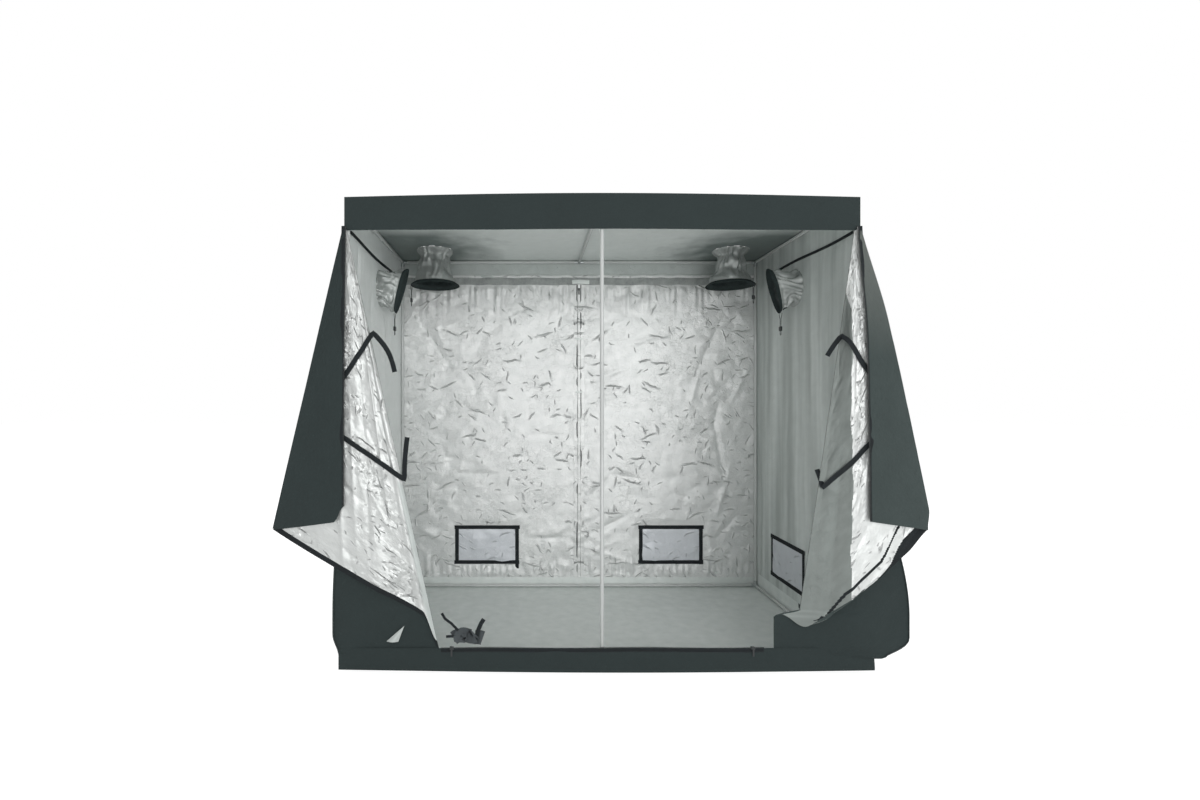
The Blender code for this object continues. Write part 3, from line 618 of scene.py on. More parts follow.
# Back zip: a coil zip on black tape, 1.9 m long, under a film storm flap. Two more strips of film
# cover the tape's edges, and where they gape the black tape shows.
zip_top = 2.036
strip_top = 2.04
strip_width = 0.026
strip_edge = 0.036
flap_half = 0.0095
strip_weight = 0.0006
tab_heights = (1.672, 1.314)
gaping = {-1: ((1.915, 2.07), (1.476, 1.638), (1.348, 1.416), (1.0, 1.12), (0.62, 0.7), (0.19, 0.443),
               (0.09, 0.16)),
          1: ((1.915, 2.07), (1.733, 1.861), (1.395, 1.456), (1.13, 1.34), (0.8, 0.93), (0.5, 0.56))}


def waver(z, seed, size):
    """An uneven sway of a sewn edge along its height."""
    rng = np.random.default_rng(seed)
    return size * sum(np.sin(z * k + rng.uniform(0, 6)) for k in (3.1, 8.7, 21.0, 43.0)) / 2.5


def within(z, spans):
    """1 inside any of the spans of height, with a soft end."""
    return sum(ease((z - low) / 0.02) * ease((high - z) / 0.02) for low, high in spans)


# Black tape: woven polyester in 2 mm ribs, with lockstitch 2.5 mm from each edge. The stitches
# are 4 mm apart, a little paler than the ribs.
rib_pitch = 0.002
stitch_inset, stitch_half, stitch_pitch, stitch_long = 0.0025, 0.0006, 0.004, 0.0028
webbing = finish("black_polyester_webbing", "#15191a", 0.72, Specular_IOR_Level=0.25)
ways = node(webbing, "SeparateXYZ", {0: node(webbing, "UVMap").outputs[0]}).outputs
rib = number(webbing, "SINE", number(webbing, "MULTIPLY", ways[1], 2 * math.pi / rib_pitch))
off = number(webbing, "ABSOLUTE", number(webbing, "SUBTRACT", ways[0], stitch_inset))
dash = number(webbing, "LESS_THAN", number(webbing, "MODULO", ways[1], stitch_pitch), stitch_long)
stitch = number(webbing, "MULTIPLY", number(webbing, "LESS_THAN", off, stitch_half), dash)
fade = noise(webbing, node(webbing, "TexCoord").outputs["Object"], 30.0, 4.0)
feed(webbing, Base_Color=mix(webbing, stitch, mix(webbing, fade, "#111515", "#20262a"), "#3c4343"),
     Normal=relief(webbing, number(webbing, "MULTIPLY_ADD", stitch, 1.5, rib), 0.00015))

# Zip teeth: moulded acetal, dyed black, with the soft gloss and slight mottle of moulding.
tooth_pitch, tooth_half, tooth_lean, tooth_height = 0.003, 0.0024, 0.0007, 0.0021
acetal = finish("black_acetal_teeth", "#1b1f20", 0.35)
mottle = noise(acetal, node(acetal, "TexCoord").outputs["Object"], 240.0, 3.0)
feed(acetal, Base_Color=mix(acetal, mottle, "#171b1c", "#25292a"),
     Roughness=graded(acetal, mottle, onto=(0.28, 0.46)))


def teeth(name, line, facing):
    """Zip teeth: a small block at each pitch along line, leaning in from either side in turn."""
    line = np.array(line, float)
    along = run_length(line)
    at = np.arange(tooth_pitch, along[-1], tooth_pitch)
    middle = line_of(*(np.interp(at, along, line[:, k]) for k in range(3)))
    ahead, across, up = directions(middle, facing)
    lean = np.where(np.arange(len(at)) % 2, tooth_lean, -tooth_lean)[:, None]
    corners = []
    for rise, taper in ((0, 1), (tooth_height, 0.72)):
        for a, c in ((-1, -1), (1, -1), (1, 1), (-1, 1)):
            corners.append(middle + across * (lean + a * tooth_half * taper) + up * rise
                           + ahead * c * tooth_pitch * 0.36 * taper)
    box_faces = ((0, 3, 2, 1), (4, 5, 6, 7), (0, 1, 5, 4), (1, 2, 6, 5), (2, 3, 7, 6), (3, 0, 4, 7))
    faces = [tuple(8 * i + j for j in face) for i in range(len(at)) for face in box_faces]
    piece = add_piece(name, np.stack(corners, 1).reshape(-1, 3).tolist(), faces, (acetal,))
    face_outward(piece)
    return piece


zip_line = line_of(0, back_face - 0.0004, np.linspace(back_foot + 0.004, zip_top, 180))
zip_tape = tape("back_zip_tape", zip_line, to_front, 0.036, 0.0007, webbing)
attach(zip_tape, "tent")
zip_teeth = teeth("back_zip_teeth", zip_line - (0, 0.0007, 0), to_front)
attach(zip_teeth, "tent")

vs = rows(back_foot, strip_top, 0.008)
for side, sign in (("left", -1), ("right", 1)):
    us = np.linspace(0, 1, 6)
    u, v = np.meshgrid(us, vs)

    def strip_place(u, v, sign=sign):
        inner = 0.0105 + 0.006 * within(v, gaping[sign]) + waver(v, 71 + sign, 0.0012)
        return sign * (inner + (strip_edge - inner) * u), back_face - 0.0032 + 0.0016 * u, v

    puckers = gathers(v, u * 0.02, 0.06, 0.02, 0.0012, 81 + sign) * np.sin(np.pi * u)
    strip = cloth(f"back_zip_{side}_strip", us[::sign], vs, strip_place, (silver_film, oxford),
                  weight=strip_weight, scale=(strip_width, 1), lift=puckers[:, ::sign])
    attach(strip, "tent")


def flap_place(u, v):
    """The storm flap's middle stands 1.4 mm further off the teeth than its edges."""
    return u * flap_half + waver(v, 77, 0.0012), back_face - 0.0052 - 0.0014 * (1 - u * u), v


us = np.linspace(-1, 1, 7)
u, v = np.meshgrid(us, vs)
flap = cloth("back_zip_flap", us, vs, flap_place, (silver_film, oxford), weight=strip_weight,
             scale=(0.01, 1), lift=gathers(v, np.abs(u) * 0.02, 0.05, 0.03, 0.0012, 78))
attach(flap, "tent")
tab_x = np.linspace(-0.024, 0.024, 9)
for index, height in enumerate(tab_heights):
    tab = tape(f"back_zip_tab_{index + 1}", line_of(tab_x, back_face - 0.0072 + tab_x ** 2 * 5, height),
               to_front, 0.012, 0.0012, tray_film)
    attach(tab, "tent")


# Side walls: the same lined cloth, smoother, with soft folds down from the roof. Each has a
# round port for its duct sleeve and a window near its foot. The right one hangs loose at the
# front and billows out past the corner pole.
port_radius = 0.1
billow = {-1: 0.052, 1: 0.215}
foot_line = 0.24
wall_film = film_finish("wall_silver_film", "#f2f5f4", "#e4e9e7", 0.48, 0.1,
                        ((0.09, 0.07), (0.03, 0.07), (0.011, 0.06)))
# The right wall's film has painted shade in long upright streaks, standing for the shade of its soft folds.
right_film = film_finish("streak_shaded_silver_film", "#e6ebe9", "#d3d9d6", 0.5, 0.2, gentle_facets,
                         streak_shade="#a9b0ad")


def billows(z, back):
    """How far the loose front edge of a side wall stands out, by height and by distance back."""
    return ease((1.3 - z) / 1.05) * (1 - 0.5 * ease((0.17 - z) / 0.1)) * (1 - ease(back / 0.52))


def wall_place(y, z, sign):
    """A side wall as it hangs, its loose foot drawn down and its loose front drawn forward."""
    stands_out = billow[sign] * billows(z, y + tent_y)
    foot = ease((foot_line - z) / 0.14) * stands_out
    loose = 0.1 * billow[sign] * billows(z, 0) * ease((-0.35 - y) / 0.25)
    return sign * (tent_x - face_depth + stands_out), y - loose, z - 0.16 * foot


for side, sign in (("left", -1), ("right", 1)):
    window_u, port_u = -sign * side_vent_y, -sign * wall_port_y
    us = rows(-tent_y + 0.003, tent_y - 0.003, grid_step, window_u - window_w, window_u + window_w)
    vs = rows(wall_foot, wall_head, grid_step, vent_z - window_h, vent_z + window_h)
    u, v = np.meshgrid(us, vs)
    edge = ease((tent_y - np.abs(u)) / 0.06) * ease((v - wall_foot) / 0.05) * ease((wall_head - v) / 0.05)
    past_port = np.hypot(u - port_u, v - wall_port_z) - port_radius
    calm = edge * ease((past_window(u - window_u, v) - 0.03) / 0.05) * ease((past_port - 0.03) / 0.08)
    hang = crumpled(us, vs, 21 + sign, 46, 1.5, 0.016, lean=math.pi / 2, spread=0.03, slim=0.022)
    hang += crumpled(us, vs, 25 + sign, 200, 0.3, 0.004)
    hang += gathers(u, np.abs(v - foot_seam), 0.07, 0.08, 0.004, 27 + sign)
    hang *= ease((2.03 - v) / 0.05)
    wall = cloth(f"{side}_wall_cloth", us, vs, lambda u, v: wall_place(-sign * u, v, sign),
                 (wall_film if sign < 0 else right_film, oxford), lift=np.clip(hang * calm, -0.015, 0.025),
                 keep=lambda u, v: (past_window(u - window_u, v) > 0)
                 & (np.hypot(u - port_u, v - wall_port_z) > port_radius))
    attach(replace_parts(wall, f"{side}_wall"), "tent")

    # Its rear seam is covered outside with a strip of Oxford.
    strip = tape(f"{side}_rear_seam",
                 line_of(sign * (tent_x - 0.0016), tent_y - 0.0016, np.linspace(wall_foot, 2.08, 90)),
                 (sign, 1, 0), 0.012, 0.001, oxford)
    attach(strip, "tent")

    # The wall's head is bound in black where the roof's skirt ends.
    y = np.linspace(-0.56, 0.42, 60)
    head = line_of(sign * (tent_x - 0.0042), y, 2.052 + 0.006 * np.sin(y * 7 + sign))
    bound = tape(f"{side}_wall_binding", head, (-sign, 0, 0), 0.014 if sign > 0 else 0.016, 0.006, webbing)
    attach(bound, "tent")


# Vents: a window in the wall behind a sewn-in screen, edged outside with black tape. Inside hangs
# a cover of lined Oxford, sewn along its top and edged with 25 mm webbing.
cover_edge = 0.025
screen_edge = 0.022
edging_thick = 0.0012
yarn_half = 0.0005
mesh_pitch = 0.004
panel_film = film_finish("covered_silver_film", "#dde0e5", "#cdd1d6", 0.45, 0.2,
                         ((0.08, 0.1), (0.03, 0.1), (0.01, 0.08)), silver_folds[1:])

# Coated yarn: polyester dipped in black vinyl, half glossy, with pale dust in patches of 20 mm.
yarn = finish("black_coated_yarn", "#191d1e", 0.5)
dust = noise(yarn, node(yarn, "TexCoord").outputs["Object"], 55.0, 4.0)
feed(yarn, Base_Color=mix(yarn, dust, "#15191a", "#2a2f2f"))


def back_frame(sign):
    """Places on the back wall, from across, up and out of a window's middle."""
    return lambda a, b, out: (sign * back_vent_x + a, back_face - out, vent_z + b)


def side_frame(sign):
    """Places on a side wall, from across, up and out of its window's middle."""
    return lambda a, b, out: (sign * (tent_x - face_depth - out), side_vent_y - sign * a, vent_z + b)


def lerp(a, b, share):
    """The place at a share of the way from a to b."""
    return a[0] + (b[0] - a[0]) * share, a[1] + (b[1] - a[1]) * share


def screen_yarns(at):
    """Points and faces of square yarns that cross a window both ways, those upright in front."""
    points, faces = [], []
    yarns = [(0, a, window_h + 0.012) for a in np.arange(-window_w - 0.01, window_w + 0.01, mesh_pitch)]
    yarns += [(1, b, window_w + 0.012) for b in np.arange(-window_h - 0.01, window_h + 0.01, mesh_pitch)]
    for way, middle, reach in yarns:
        start = len(points)
        for end in (-reach, reach):
            for across, rise in ((-yarn_half, 0), (0, -yarn_half), (yarn_half, 0), (0, yarn_half)):
                a, b = (middle + across, end) if way == 0 else (end, middle + across)
                points.append(at(a, b, rise - 0.0022 + 0.0004 * way))
        faces += [tuple(start + k for k in (j, (j + 1) % 4, (j + 1) % 4 + 4, j + 4)) for j in range(4)]
        faces += [(start, start + 3, start + 2, start + 1), tuple(range(start + 4, start + 8))]
    return points, faces


half_a, half_b, inset = vent_w / 2, vent_h / 2, cover_edge / 2
rim_a, rim_b = window_w + 0.008, window_h + 0.008
for wall_name, frame_of in (("back", back_frame), ("side", side_frame)):
    for side, sign in (("left", -1), ("right", 1)):
        at = frame_of(sign)
        inward = Vector(at(0, 0, 1)) - Vector(at(0, 0, 0))
        us, vs = np.linspace(-half_a, half_a, 44), np.linspace(-half_b, half_b, 28)
        u, v = np.meshgrid(us, vs)
        held = ease((half_a - np.abs(u)) / 0.05) * ease((half_b - np.abs(v)) / 0.05)
        puff = np.abs(crumpled(us, vs, 90 + sign + 5 * len(wall_name), 60, 0.25, 0.004)) * held
        cover = cloth(f"{wall_name}_vent_{side}_cover", us, vs, lambda u, v: at(u, v, 0.0016),
                      (panel_film, oxford), lift=puff)
        node_name = f"{wall_name}_vent_cover_{side}"
        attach(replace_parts(cover, node_name), node_name)
        loose_end = 0.03 if node_name == "back_vent_cover_left" else 0.003
        for run, start, end, out in (
                ("top", (-half_a - 0.004, half_b - inset), (half_a + 0.006, half_b - inset), 0.0027),
                ("foot", (-half_a - 0.005, inset - half_b), (half_a + 0.003, inset - half_b), 0.0027),
                ("left", (inset - half_a, 0.003 - half_b), (inset - half_a, half_b - 0.003), 0.0019),
                ("right", (half_a - inset, -half_b - loose_end), (half_a - inset, half_b - 0.003), 0.0019)):
            line = line_of(*at(*lerp(start, end, np.linspace(0, 1, 24)), out))
            edging = tape(f"{wall_name}_vent_{side}_{run}_edging", line, inward, cover_edge, edging_thick,
                          webbing)
            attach(edging, node_name)

        # The screen: coated yarn, 1 mm thick, 4 mm apart both ways, welded where it crosses.
        screen = add_piece(f"{wall_name}_{side}_screen", *screen_yarns(at), (yarn,))
        face_outward(screen)
        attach(screen, "tent")
        for run, start, end, out in (
                ("top", (-rim_a - 0.011, rim_b), (rim_a + 0.011, rim_b), -0.0025),
                ("foot", (-rim_a - 0.011, -rim_b), (rim_a + 0.011, -rim_b), -0.0025),
                ("left", (-rim_a, -rim_b - 0.009), (-rim_a, rim_b + 0.009), -0.0019),
                ("right", (rim_a, -rim_b - 0.009), (rim_a, rim_b + 0.009), -0.0019)):
            line = line_of(*at(*lerp(start, end, np.linspace(0, 1, 16)), out))
            edging = tape(f"{wall_name}_{side}_window_{run}_edging", line, -inward, screen_edge,
                          edging_thick, webbing)
            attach(edging, "tent")


# Roof: the sewn top of the cover, which hangs from the rails with a skirt of 156 mm all round.
# Its skirt is the hood that covers the heads of the walls and doors. In each rear corner the
# lining is darkened to a grey-green round the duct port: painted shade.
hood = 0.156
roof_port = 0.11
front_rise = 0.019
shade_middle, shade_spread = (1.06, 0.34, 0), (2.0, 1.5, 0)
roof_lining = film_finish("roof_silver_film", "#eaefed", "#dde3e0", 0.5, 0.12,
                          ((0.12, 0.05), (0.04, 0.05), (0.012, 0.03)))
# Painted shade: a soft grey-green darkening round each rear duct port, fading out towards the front.
cut = node(roof_lining, "UVMap").outputs[0]
off = vector(roof_lining, "SUBTRACT", vector(roof_lining, "ABSOLUTE", cut), shade_middle)
gap = vector(roof_lining, "LENGTH", vector(roof_lining, "MULTIPLY", off, shade_spread))
shade_reach = number(roof_lining, "MULTIPLY_ADD", noise(roof_lining, cut, 6.0, 4.0), 0.9, gap)
behind = graded(roof_lining, node(roof_lining, "SeparateXYZ", {0: cut}).outputs[1], over=(-0.16, 0.02))
corner_shade = number(roof_lining, "MULTIPLY", graded(roof_lining, shade_reach, over=(1.65, 0.95)), behind)
film_tone = roof_lining.node_tree.nodes["Principled BSDF"].inputs["Base Color"].links[0].from_socket
feed(roof_lining, Base_Color=mix(roof_lining, corner_shade, film_tone, "#7b8583"))


def roof_place(u, v):
    """The roof as it hangs: its front edge rides up a little over the rail."""
    x, y, z = boxed(u, v, tent_z, -1)
    front = ease((-y - 0.25) / 0.35)
    crown = np.cos(np.pi * np.clip(x / (2 * tent_x), -0.5, 0.5))
    return x, y, z + front * (front_rise * crown * (1 - 0.6 * (tent_z - z) / hood) - 0.002)


def past_roof_port(u, v):
    """How far outside a duct port a place on the roof lies."""
    return np.hypot(np.abs(u) - port_x, v - port_y) - roof_port


us = rows(-tent_x - hood, tent_x + hood, grid_step, -tent_x, tent_x, 0.0)
vs = rows(-tent_y - hood, tent_y + hood, grid_step, -tent_y, tent_y)
u, v = np.meshgrid(us, vs)
skirt = rim_share(u, v, hood)
top_part = ease((tent_x - np.abs(u)) / 0.1) * ease((tent_y - np.abs(v)) / 0.1)
port = past_roof_port(u, v)
sag = -0.012 * np.sin(np.pi * np.clip(np.abs(u) / tent_x, 0, 1)) * np.cos(
    np.pi * np.clip(v / (2 * tent_y), -0.5, 0.5))
wave = 0.003 * np.sin(u * 5.3 + 1) * skirt + 0.003 * np.sin(v * 9) * skirt
roof_lift = sag * top_part * ease((port - 0.03) / 0.12) + wave
roof_lift += crumpled(us, vs, 31, 260, 0.5, 0.004) * top_part * ease((port - 0.03) / 0.08)
roof_lift += crumpled(us, vs, 32, 260, 0.3, 0.0025) * skirt
over_bar = ease((np.abs(u) - 0.015) / 0.06)
roof_lift = np.where(skirt > 0, roof_lift, np.maximum(roof_lift * over_bar, -0.02)) * seam_share(u, v)
roof = cloth("roof_cloth", us, vs, roof_place, (oxford, roof_lining), lift=roof_lift,
             keep=lambda u, v: cross_shaped(u, v) & (past_roof_port(u, v) > 0))
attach(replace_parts(roof, "roof"), "tent")

# Port rings: black tape sewn round each duct port outside, 28 mm wide on the roof, 26 on a wall.
roof_ring, wall_ring = 0.127, 0.115
turn = np.linspace(0, 2 * math.pi, 72, endpoint=False)
round_x, round_y = np.cos(turn), np.sin(turn)
for side, sign in (("left", -1), ("right", 1)):
    ring = line_of(sign * port_x + roof_ring * round_x, port_y + roof_ring * round_y, tent_z + 0.0003)
    made = tape(f"roof_port_ring_{side}", ring, (0, 0, 1), 0.028, 0.0015, webbing, closed=True)
    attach(made, "tent")
    ring = line_of(sign * (tent_x - 0.0022), wall_port_y + wall_ring * round_x,
                   wall_port_z + wall_ring * round_y)
    made = tape(f"wall_port_ring_{side}", ring, (sign, 0, 0), 0.026, 0.0015, webbing, closed=True)
    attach(made, "tent")


# Duct sleeves: lined Oxford gathered on its port, film outside, with a 22 mm hem of black Oxford
# that holds a drawstring. The roof's hang straight, and the walls' droop by 16 degrees.
roof_sleeve_length, wall_sleeve_length = 0.222, 0.13
roof_neck = {-1: 0.082, 1: 0.072}
roof_hem_radius, wall_exit_radius = 0.15, 0.134
sleeve_hem = 0.022
sleeve_droop = math.radians(16)
sleeve_depth = 0.0023
facet = math.pi / 24
sleeve_film = film_finish("sleeve_silver_film", "#b9bdbb", "#989d9b", 0.46, 0.5, crumpled_facets)


def stepped(share, stops):
    """A radius that eases from one stop's value to the next along a sleeve."""
    radius = np.full_like(share, stops[0][1])
    for (from_share, low), (to_share, high) in zip(stops, stops[1:]):
        radius = radius + (high - low) * ease((share - from_share) / (to_share - from_share))
    return radius


def drooped(x, y, along, length):
    """A point of a wall sleeve, bent down round the arc on which its axis hangs."""
    angle = sleeve_droop * along / length
    arc = length / sleeve_droop
    return arc * np.sin(angle) + x * np.sin(angle), y, x * np.cos(angle) - arc * (1 - np.cos(angle))


def sleeve(name, root, length, stops, still, seed, hung, limp=0.0):
    """A sleeve along hung's third value, flattened by limp towards its mouth.

    still is the angle at which the drawstring leaves, where the mouth keeps its round form.
    """
    us = np.linspace(0, 2 * math.pi * root, 113)
    vs = np.unique(np.concatenate([np.linspace(0, 0.06, 10), np.linspace(0.06, length - sleeve_hem, 26),
                                   np.linspace(length - sleeve_hem, length, 7)]).round(6))
    u, v = np.meshgrid(us, vs)

    def place(u, v):
        angle, share = -u / root, v / length
        twist = angle + 0.25 * np.sin(3 * angle + 5 * share)
        narrow = ease(share / 0.06) * (1 - ease((share - 0.55) / 0.4))
        body = np.sin(np.pi * np.clip(share / 0.94, 0, 1))
        flat = 1 - limp * ease(share / 0.8)
        mouth = ease((share - 0.7) / 0.3) * 0.005 * np.sin((angle - still) * 1.5) ** 2
        hem = np.clip((v - length + sleeve_hem) / sleeve_hem, 0, 1)
        radius = stepped(share, stops)
        gathered = 0.006 * np.sin(15 * twist + 2 * share) + 0.004 * np.sin(8 * angle - 4 * share)
        radius = radius + narrow * gathered
        radius = radius + body * (0.006 * np.sin(5 * angle + 3 * share + seed) + 0.0035 * np.sin(11 * twist))
        radius = radius + mouth * np.cos(2 * (angle - still)) + 0.0022 * np.sin(np.pi * hem) ** 0.5
        return hung(radius * np.cos(angle), flat * radius * np.sin(angle), v)

    crease = crumpled(us, vs, seed, 130, 0.15, 0.009, slim=0.1)
    free = ease(u / 0.03) * ease((us[-1] - u) / 0.03) * ease(v / 0.03) * ease((length - 0.026 - v) / 0.02)
    made = cloth(name + "_cloth", us, vs, place, (sleeve_film, oxford, oxford, oxford), lift=crease * free,
                 band=lambda u, v: v > length - sleeve_hem)
    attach(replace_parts(made, name), "tent")


# Drawstrings: 3 mm braid of polyester over a core, whose crossing strands catch the light in
# fine diagonals. Each loops 125 mm below its hem, through a lock 88 mm down.
cord_radius = 0.0015
loop_radius = 0.006
cord_drop = 0.125
lock_drop = 0.088
braid = finish("black_braided_cord", "#14181a", 0.7)
strands = node(braid, "TexWave", {"Vector": node(braid, "TexCoord").outputs["Object"], "Scale": 420.0,
                                  "Distortion": 1.0}, bands_direction="DIAGONAL").outputs[1]
feed(braid, Base_Color=mix(braid, strands, "#0f1314", "#2b3132"), Normal=relief(braid, strands, 0.0003))


def block(size, place=(0, 0, 0), bevel=0.0, segments=3, profile=0.5, narrow=1.0):
    """A box with rounded edges, whose low end may be narrower."""
    bpy.ops.object.select_all(action="DESELECT")
    bpy.ops.mesh.primitive_cube_add(size=1, location=place)
    made = bpy.context.object
    made.scale = size
    bpy.ops.object.transform_apply(location=True, rotation=False, scale=True)
    for vert in made.data.vertices:
        if vert.co.z < place[2]:
            vert.co.x *= narrow
    if bevel:
        edit(made, (bpy.ops.mesh.bevel, {"offset": bevel, "segments": segments, "profile": profile,
                                         "affect": "EDGES"}))
    return made


def cut_by(piece, cutters):
    """Takes each cutter out of a piece, and then removes the cutters."""
    for cutter in cutters:
        cut_out = piece.modifiers.new("cut", "BOOLEAN")
        cut_out.object = cutter
        cut_out.operation = "DIFFERENCE"
    apply_all(piece)
    for cutter in cutters:
        bpy.data.objects.remove(cutter)


def join(first, *others):
    """Joins pieces into the first."""
    select_only(first)
    for piece in others:
        piece.select_set(True)
    bpy.ops.object.join()


def coat(piece, made_of):
    """Gives a hard piece its one material and its shading."""
    smooth(piece, 35)
    piece.data.materials.clear()
    piece.data.materials.append(made_of)


# Cord locks: black moulded acetal, 24 by 12 by 26 mm, with an oval bore for both strands and a
# sprung button at one end. One is modelled at the origin and copied.
lock = block((0.024, 0.012, 0.026), bevel=0.0034, segments=4, profile=0.6)
grooves = [block((0.015, 0.004, 0.0012), (0, -0.0061, z)) for z in (0.005, 0, -0.005)]
cut_by(lock, [block((0.0162, 0.0039, 0.04)), *grooves])
bpy.ops.mesh.primitive_cylinder_add(vertices=28, radius=0.004, depth=0.006, location=(0.0142, 0, 0),
                                    rotation=(0, math.pi / 2, 0))
button = bpy.context.object
edit(button, (bpy.ops.mesh.bevel, {"offset": 0.0006, "segments": 2, "affect": "EDGES"}))
join(lock, button)
coat(lock, acetal)


def drawstring(name, top, chord, exit_half, lock_name):
    """A loop of 3 mm braid that leaves the hem at two places, meets and turns 125 mm below."""
    straight = cord_drop - loop_radius
    drops = np.linspace(0, straight, 14)
    asides = exit_half + (loop_radius - exit_half) * ease((drops - 0.008) / 0.026)
    down = [(-x, drop) for x, drop in zip(asides.tolist(), drops.tolist())]
    turns = [math.pi * step / 8 for step in range(1, 8)]
    low = [(-loop_radius * math.cos(a), straight + loop_radius * math.sin(a)) for a in turns]
    whole = down + low + [(-x, drop) for x, drop in down[::-1]]
    route = [top + chord * x - Vector((0, 0, drop)) for x, drop in whole]
    curve = bpy.data.curves.new(name + "_cord", "CURVE")
    curve.dimensions = "3D"
    curve.bevel_depth = cord_radius
    curve.bevel_resolution = 3
    curve.use_fill_caps = True
    line = curve.splines.new("POLY")
    line.points.add(len(route) - 1)
    for point, place in zip(line.points, route):
        point.co = (*place, 1)
    line.use_smooth = True
    curve.materials.append(braid)
    cord = bpy.data.objects.new(name + "_cord", curve)
    bpy.context.collection.objects.link(cord)
    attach(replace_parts(cord, name), "tent")
    held = bpy.data.objects.new(lock_name + "_body", lock.data.copy())
    bpy.context.collection.objects.link(held)
    held.data.transform(Matrix.Translation(top - Vector((0, 0, lock_drop)))
                        @ Matrix.Rotation(math.atan2(chord.y, chord.x), 4, "Z"))
    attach(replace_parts(held, lock_name), lock_name)


for side, sign, leaves_at in (("left", -1, math.pi), ("right", 1, -math.pi / 4)):
    root = Vector((sign * port_x, port_y, tent_z - sleeve_depth))
    neck = roof_neck[sign]
    sleeve(f"roof_sleeve_{side}", roof_port, roof_sleeve_length,
           ((0, 0.112), (0.16, neck), (0.5, neck + 0.012), (0.88, 0.122), (1, 0.149)), leaves_at, 95 + sign,
           lambda x, y, along: (root.x + x, root.y + y, root.z - along))
    hem_radius = roof_hem_radius * math.cos(facet)
    aim = Vector((math.cos(leaves_at), math.sin(leaves_at), 0))
    top = root + aim * hem_radius * math.cos(facet)
    top.z -= roof_sleeve_length + 0.0003
    drawstring(f"roof_drawstring_{side}", top, Vector((-aim.y, aim.x, 0)), hem_radius * math.sin(facet),
               f"roof_cord_lock_{side}")

    root = Vector((sign * (tent_x - sleeve_depth), wall_port_y, wall_port_z))

    def hung(x, y, along):
        out, aside, up = drooped(x, y, along, wall_sleeve_length)
        return root.x - sign * out, root.y - sign * aside, root.z + up

    sleeve(f"wall_sleeve_{side}", port_radius, wall_sleeve_length,
           ((0, 0.102), (0.25, 0.09), (0.8, 0.118), (1, 0.131)), math.pi, 105 + sign, hung, limp=0.64)
    exit_radius = wall_exit_radius * math.cos(facet)
    top = Vector(hung(-exit_radius * math.cos(facet), 0.0, wall_sleeve_length - sleeve_hem / 2))
    top.z -= 0.0003 + cord_radius * (math.tan(sleeve_droop) + math.tan(facet))
    drawstring(f"wall_drawstring_{side}", top, Vector((0, 1, 0)), exit_radius * math.sin(facet),
               f"wall_cord_lock_{side}")
bpy.data.objects.remove(lock)


# Gussets: the front's fixed lower corners, lined Oxford sewn to the tray and to the side walls.
# Each door folds back along its gusset's slanted edge. A strip of Oxford covers the seam to the
# side wall outside, and below it the loose foot turns back under to the tray's rim.
door_apex = (tent_x, 2.1037)
sill_end = (0.76, 0.1003)
gusset_foot = wall_foot - 0.02
return_width = 0.28
seam_bow = 0.13
bow_foot, bow_top = 0.246, 0.278


def hinge_line(z, sign):
    """Where a leaf is sewn to its gusset. The left seam is straight, and the right one bows out."""
    drop = (door_apex[1] - z) / (door_apex[1] - sill_end[1])
    x = door_apex[0] + (sill_end[0] - door_apex[0]) * drop
    if sign < 0:
        return x
    return np.maximum(x + seam_bow * drop * ease((z - bow_foot) / 0.032) - 0.02 * (1 - drop) ** 2, 0.797)


def gusset_place(u, v, sign):
    """A gusset as it hangs: u runs from its slanted edge to the front edge of the side wall."""
    inner = hinge_line(v, sign)
    outer = tent_x + billow[sign] * billows(v, 0)
    x = inner + (outer - inner) * u
    loose = ease((x - tent_x + 0.25) / 0.3) * billow[sign] * billows(v, 0)
    foot = ease((foot_line - v) / 0.14) * ease((x - tent_x + 0.12) / 0.2) * billow[sign] * billows(v, 0)
    return sign * x, -tent_y + 0.0015 - 0.1 * loose, v - 0.16 * foot


